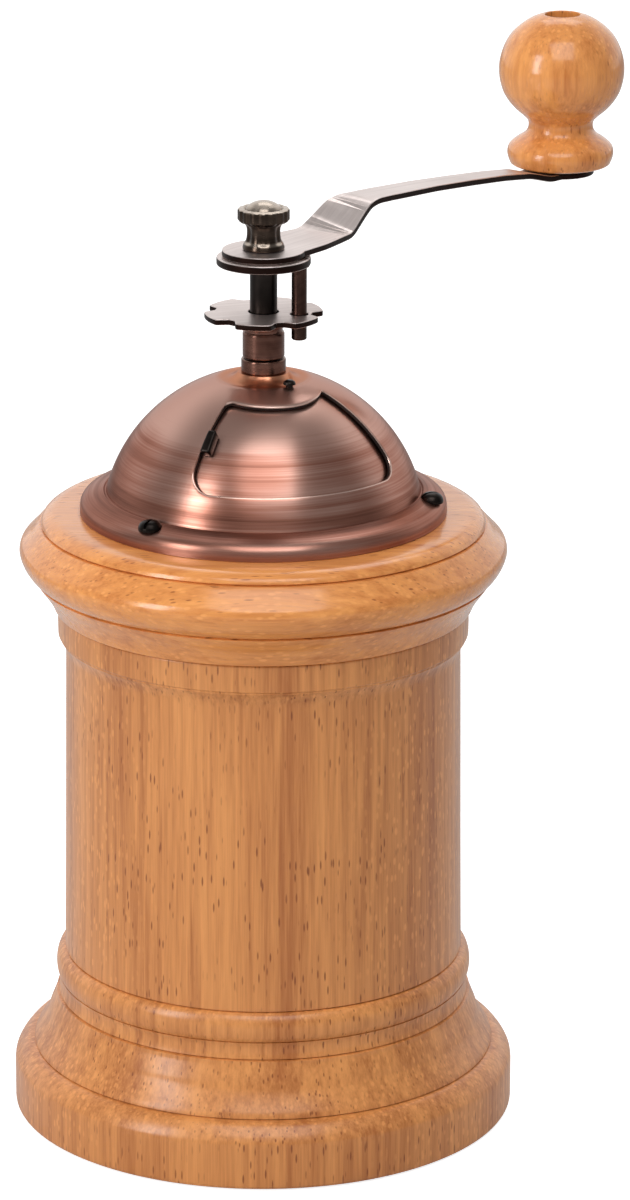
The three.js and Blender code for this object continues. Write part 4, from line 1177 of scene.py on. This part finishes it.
# %% Cut the stopper disc
DISC_RADIUS = 8.6
bm = sheet_metal([
    round_hole((0, 0), DISC_RADIUS, 96),
    round_hole((0, 0), SPINDLE_RADIUS + 0.1),
    round_hole(pin_axis, PIN_RADIUS + 0.1, 32),
])
bmesh.ops.translate(bm, verts=bm.verts, vec=(0, 0, disc_top * MM))
make_plate(bm, disc_top - disc_foot, 0.3)
dressed("stopper_plate", bm, "stopper_disc", plate_copper, PLATE_CREASE)

# %% [markdown]
# ## Crank
# The crank is a strip that is round at both ends. It is cut flat and then bent: each point is lifted by
# the height of the bend line at its distance from the hub, and the sheet gets its thickness only
# afterwards, so that the metal is equally thick in the bends.

# %% Cut and bend the crank
HUB_END = 7.6
SEAT_END = 6.6
CRANK_REACH = hypot(*knob_axis)
SEAT_DROP = 1.0
BEND_SOFTNESS = 1.0
BEND_SKEW = 0.33
SKEW_FROM = 36
crank_bends = [
    (0, 0, HUB_END), (11, 0, 6.4), (18.8, 0, 5.0), (25.6, 4.3, 4.15), (28.4, 4.75, 3.95), (34, 4.5, 3.7),
    (CRANK_REACH - 43.9, 3.6, 3.3), (CRANK_REACH - 32.4, 2.6, 3.1), (CRANK_REACH - 22, 1.6, 3),
    (CRANK_REACH - 13.4, 0.5, 3.05), (CRANK_REACH - 8, -SEAT_DROP, 4.2),
    (CRANK_REACH, -SEAT_DROP, SEAT_END),
]


def along_bends(distance, column):
    """The rise or half width of the crank at a distance from the hub, straight between its bends."""
    marks = [bend[0] for bend in crank_bends]
    values = [bend[column] for bend in crank_bends]
    distance = min(max(distance, marks[0]), marks[-1])
    return remap(distance, marks, values)


def rise_at(distance):
    """The rise with each bend eased over a short stretch."""
    offsets = [BEND_SOFTNESS * (step / 4 - 1) for step in range(9)]
    return sum(along_bends(distance + offset, 1) for offset in offsets) / len(offsets)


def crank_outline():
    points = arc((0, 0), HUB_END, 62, 298, 40)
    middle_stretch = [10 + step for step in range(int(CRANK_REACH) - 20)]
    halves = [sum(along_bends(s + d, 2) for d in (-2, -1, 0, 1, 2)) / 5 for s in middle_stretch]
    points += [(s, -half) for s, half in zip(middle_stretch, halves)]
    points += arc((CRANK_REACH, 0), SEAT_END, -140, 140, 40)
    points += [(s, half) for s, half in zip(middle_stretch[::-1], halves[::-1])]
    return points


stations = [9 + 0.5 * step for step in range(2 * int(CRANK_REACH) - 30)]
bm = sheet_metal(
    [crank_outline(), round_hole((0, 0), SPINDLE_RADIUS + 0.1), round_hole((CRANK_REACH, 0), 2.1)],
    stations,
)
for vert in bm.verts:
    distance = vert.co.x / MM
    skew = BEND_SKEW * vert.co.y / MM * min(max((SKEW_FROM - distance) / 6, 0), 1)
    vert.co.z = (crank_top + rise_at(distance + skew)) * MM
bm.normal_update()
make_plate(bm, CRANK_THICKNESS, 0.25)
bmesh.ops.rotate(bm, verts=bm.verts, matrix=Matrix.Rotation(CRANK_TURN, 3, "Z"))
dressed("bent_crank", bm, "crank_arm", crank_copper, PLATE_CREASE)

# %% [markdown]
# ## Thumb nut
# The nut that holds the crank is turned, and then its head and neck are fluted: the points of the spun
# grid move towards the axis by a wave that goes round the piece.

# %% Turn and flute the nut
NUT_FLUTES = 16
NECK_FLUTES = 6


def flute(bm, low, high, count, depth):
    """Draws in the points between two heights by a wave that goes count times round."""
    for vert in bm.verts:
        reach = hypot(vert.co.x, vert.co.y)
        if low * MM < vert.co.z < high * MM and reach > 2.6 * MM:
            wave = (1 - cos(count * atan2(vert.co.y, vert.co.x))) / 2
            scale = 1 - depth * MM * (wave ** 2) / reach
            vert.co.x *= scale
            vert.co.y *= scale


bore_and_foot = [(0, 7), (2.1, 7), (2.1, 0), (3.8, 0, 0.15)]
waist = [(3.85, 0.3), (3.65, 0.9), (3.2, 1.7), (3.05, 2.8), (3.1, 3.9), (3.5, 4.75)]
head = [
    (4.2, 5.0, 0.15), (4.75, 5.4, 0.2), (4.75, 6.4), (4.75, 7.4, 0.3),
    (3.75, 7.6, 0.1), (3.45, 7.3, 0.1), (3.2, 7.6, 0.1),
]
button = [(2.9, 7.95), (2.0, 8.5), (1.0, 8.8)]
nut_profile = soften([
    *lift(bore_and_foot, nut_foot),
    *flow(lift(waist, nut_foot), 4),
    *lift(head, nut_foot),
    *flow([*lift(button, nut_foot), (0, nut_top)], 4),
])
bm = spun(nut_profile, 192)
flute(bm, nut_foot + 4.9, nut_foot + 7.5, NUT_FLUTES, 0.22)
flute(bm, nut_foot + 1.2, nut_foot + 4.6, NECK_FLUTES, 0.3)
dressed("thumb_screw", bm, "thumb_nut", bronze, 40)

# %% [markdown]
# ## Washer, pin and screws
# The last small parts are turned too. Each flange screw has a round head with a slot. The slot is made
# where it would be sawn: two cuts across the head, and the strip between them pressed down.

# %% Turn the washer and the pin of the knob
washer_foot, washer_top = levels("knob_washer")
washer_profile = soften([
    (2.1, washer_foot), (7.0, washer_foot, 0.15), (7.0, washer_top, 0.15), (2.1, washer_top),
])
dressed("seat_washer", spun(washer_profile, 64, knob_axis, loop=True), "knob_washer", black_steel)
rod_foot, rod_top = levels("knob_pin")
rivet_top = washer_foot - CRANK_THICKNESS
head_foot = rod_top - 1.6
rod_profile = soften([
    (0, rod_foot), (1.8, rod_foot, 0.4), (2.6, rod_foot + 0.55, 0.2), (2.6, rivet_top), (1.9, rivet_top),
    (1.9, head_foot), (2.9, head_foot, 0.15), (2.9, head_foot + 0.95, 0.3),
    (2.0, rod_top, 0.3), (0, rod_top),
])
dressed("riveted_pin", spun(rod_profile, 48, knob_axis), "knob_pin", black_steel)

# %% Turn and slot the flange screws
SCREW_HEAD = 2.2
SLOT_HALF = 0.28
SLOT_DEPTH = 0.6


def slotted_screw(node, turn):
    """A round headed wood screw, its head as wide as the frame's."""
    foot, top = levels(node)
    seat = top - 1.9
    profile = soften([
        (0, foot), (0.3, foot + 0.1), (1.15, foot + 1.6), (1.2, seat), (SCREW_HEAD, seat, 0.1),
        (SCREW_HEAD, seat + 0.5, 0.15),
        *flow([(2.12, seat + 0.8), (1.8, seat + 1.35), (1.15, seat + 1.75), (0.5, seat + 1.88)], 4),
        (0, top),
    ])
    bm = spun(profile, 48)
    for side in (-1, 1):
        saw_across(bm, (0, side * SLOT_HALF * MM, 0), (0, 1, 0))
    level = (seat + 0.7) * MM
    strip = [
        face for face in bm.faces
        if abs(face.calc_center_median().y) < SLOT_HALF * MM and face.calc_center_median().z > level
    ]
    sunk = bmesh.ops.extrude_face_region(bm, geom=strip)
    bmesh.ops.delete(bm, geom=strip, context="FACES")
    floor_verts = [item for item in sunk["geom"] if isinstance(item, bmesh.types.BMVert)]
    bmesh.ops.translate(bm, verts=floor_verts, vec=(0, 0, -SLOT_DEPTH * MM))
    bmesh.ops.rotate(bm, verts=bm.verts, matrix=Matrix.Rotation(turn, 3, "Z"))
    axis = middle(node)
    bmesh.ops.translate(bm, verts=bm.verts, vec=(axis[0] * MM, axis[1] * MM, 0))
    bmesh.ops.recalc_face_normals(bm, faces=bm.faces)
    return bm


for number, turn in enumerate((0.4, 1.9, 1.1), start=1):
    node = f"flange_screw_{number}"
    dressed(f"slotted_screw_{number}", slotted_screw(node, turn), node, black_steel, 40)

rivet_foot, rivet_head = levels("boss_rivet")
rivet_profile = soften([
    (0, rivet_foot), (0.65, rivet_foot), (0.65, rivet_head - 0.85), (1.15, rivet_head - 0.85, 0.1),
    *flow([(1.15, rivet_head - 0.7), (1.0, rivet_head - 0.3), (0.6, rivet_head - 0.05)], 4),
    (0, rivet_head),
])
dressed("crown_rivet", spun(rivet_profile, 32, middle("boss_rivet")), "boss_rivet", black_steel)

# %% [markdown]
# ## Funnel
# Inside the hopper a thin steel funnel leads the beans to the burrs. It shows when the door is open.

# %% Turn the funnel
funnel_foot, funnel_top = levels("hopper_funnel")
RIM_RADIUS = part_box("hopper_funnel")[1][0] / MM
rim_foot = funnel_top - 0.7
funnel_profile = soften([
    (22.7, funnel_foot), (23.4, funnel_foot, 0.1), (28.0, rim_foot, 0.3), (RIM_RADIUS, rim_foot),
    (RIM_RADIUS, funnel_top), (27.3, funnel_top, 0.3),
])
dressed("turned_funnel", spun(funnel_profile, 96, loop=True), "hopper_funnel", satin_steel)

# %% [markdown]
# ## Spring
# The spring sits on the inner burr and presses against the guide bush above it. A finer setting lifts
# the burr and squashes the spring, so the spring is a piece of its own, with its own copy of the mesh.

# %% Copy the spring into a piece with its own mesh
spring_bm = bmesh.new()
spring_bm.from_mesh(frame["nodes"]["burr_spring"].data)
bmesh.ops.remove_doubles(spring_bm, verts=spring_bm.verts, dist=0.001 * MM)
bmesh.ops.recalc_face_normals(spring_bm, faces=spring_bm.faces)
wound_spring = dressed("wound_spring", spring_bm, "burr_spring", satin_steel)
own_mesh(wound_spring)

# %% [markdown]
# ## Parts that keep their solid
# What is left sits inside the mill. Its shape is right as it is, so it only gets a finish.

# %% Finish the inner parts
finish_of_slot = {
    "steel": satin_steel, "bronze": bronze, "ceramic": ceramic, "rubber": rubber, "pad": felt,
}
kept = [
    "base_pad", "neck_ring", "neck_seal", "mill_housing", "bush_nut", "guide_bridge", "guide_bush",
    "outer_burr", "burr_retainer", "inner_burr", "burr_washer", "burr_nut",
    *[f"{kind}_screw_{number}" for kind in ("housing", "bridge", "retainer") for number in (1, 2, 3)],
]
for node in kept:
    frame["nodes"][node].data.materials.clear()
    frame["nodes"][node].data.materials.append(finish_of_slot[slot_of_node[node]])
print(len(kept), "inner parts finished")

# %% [markdown]
# ## Close
# The dressed mill has to fill the same box as the frame. Last, the colour view is set to Standard.

# %% Set the colour view
bpy.context.scene.view_settings.view_transform = "Standard"
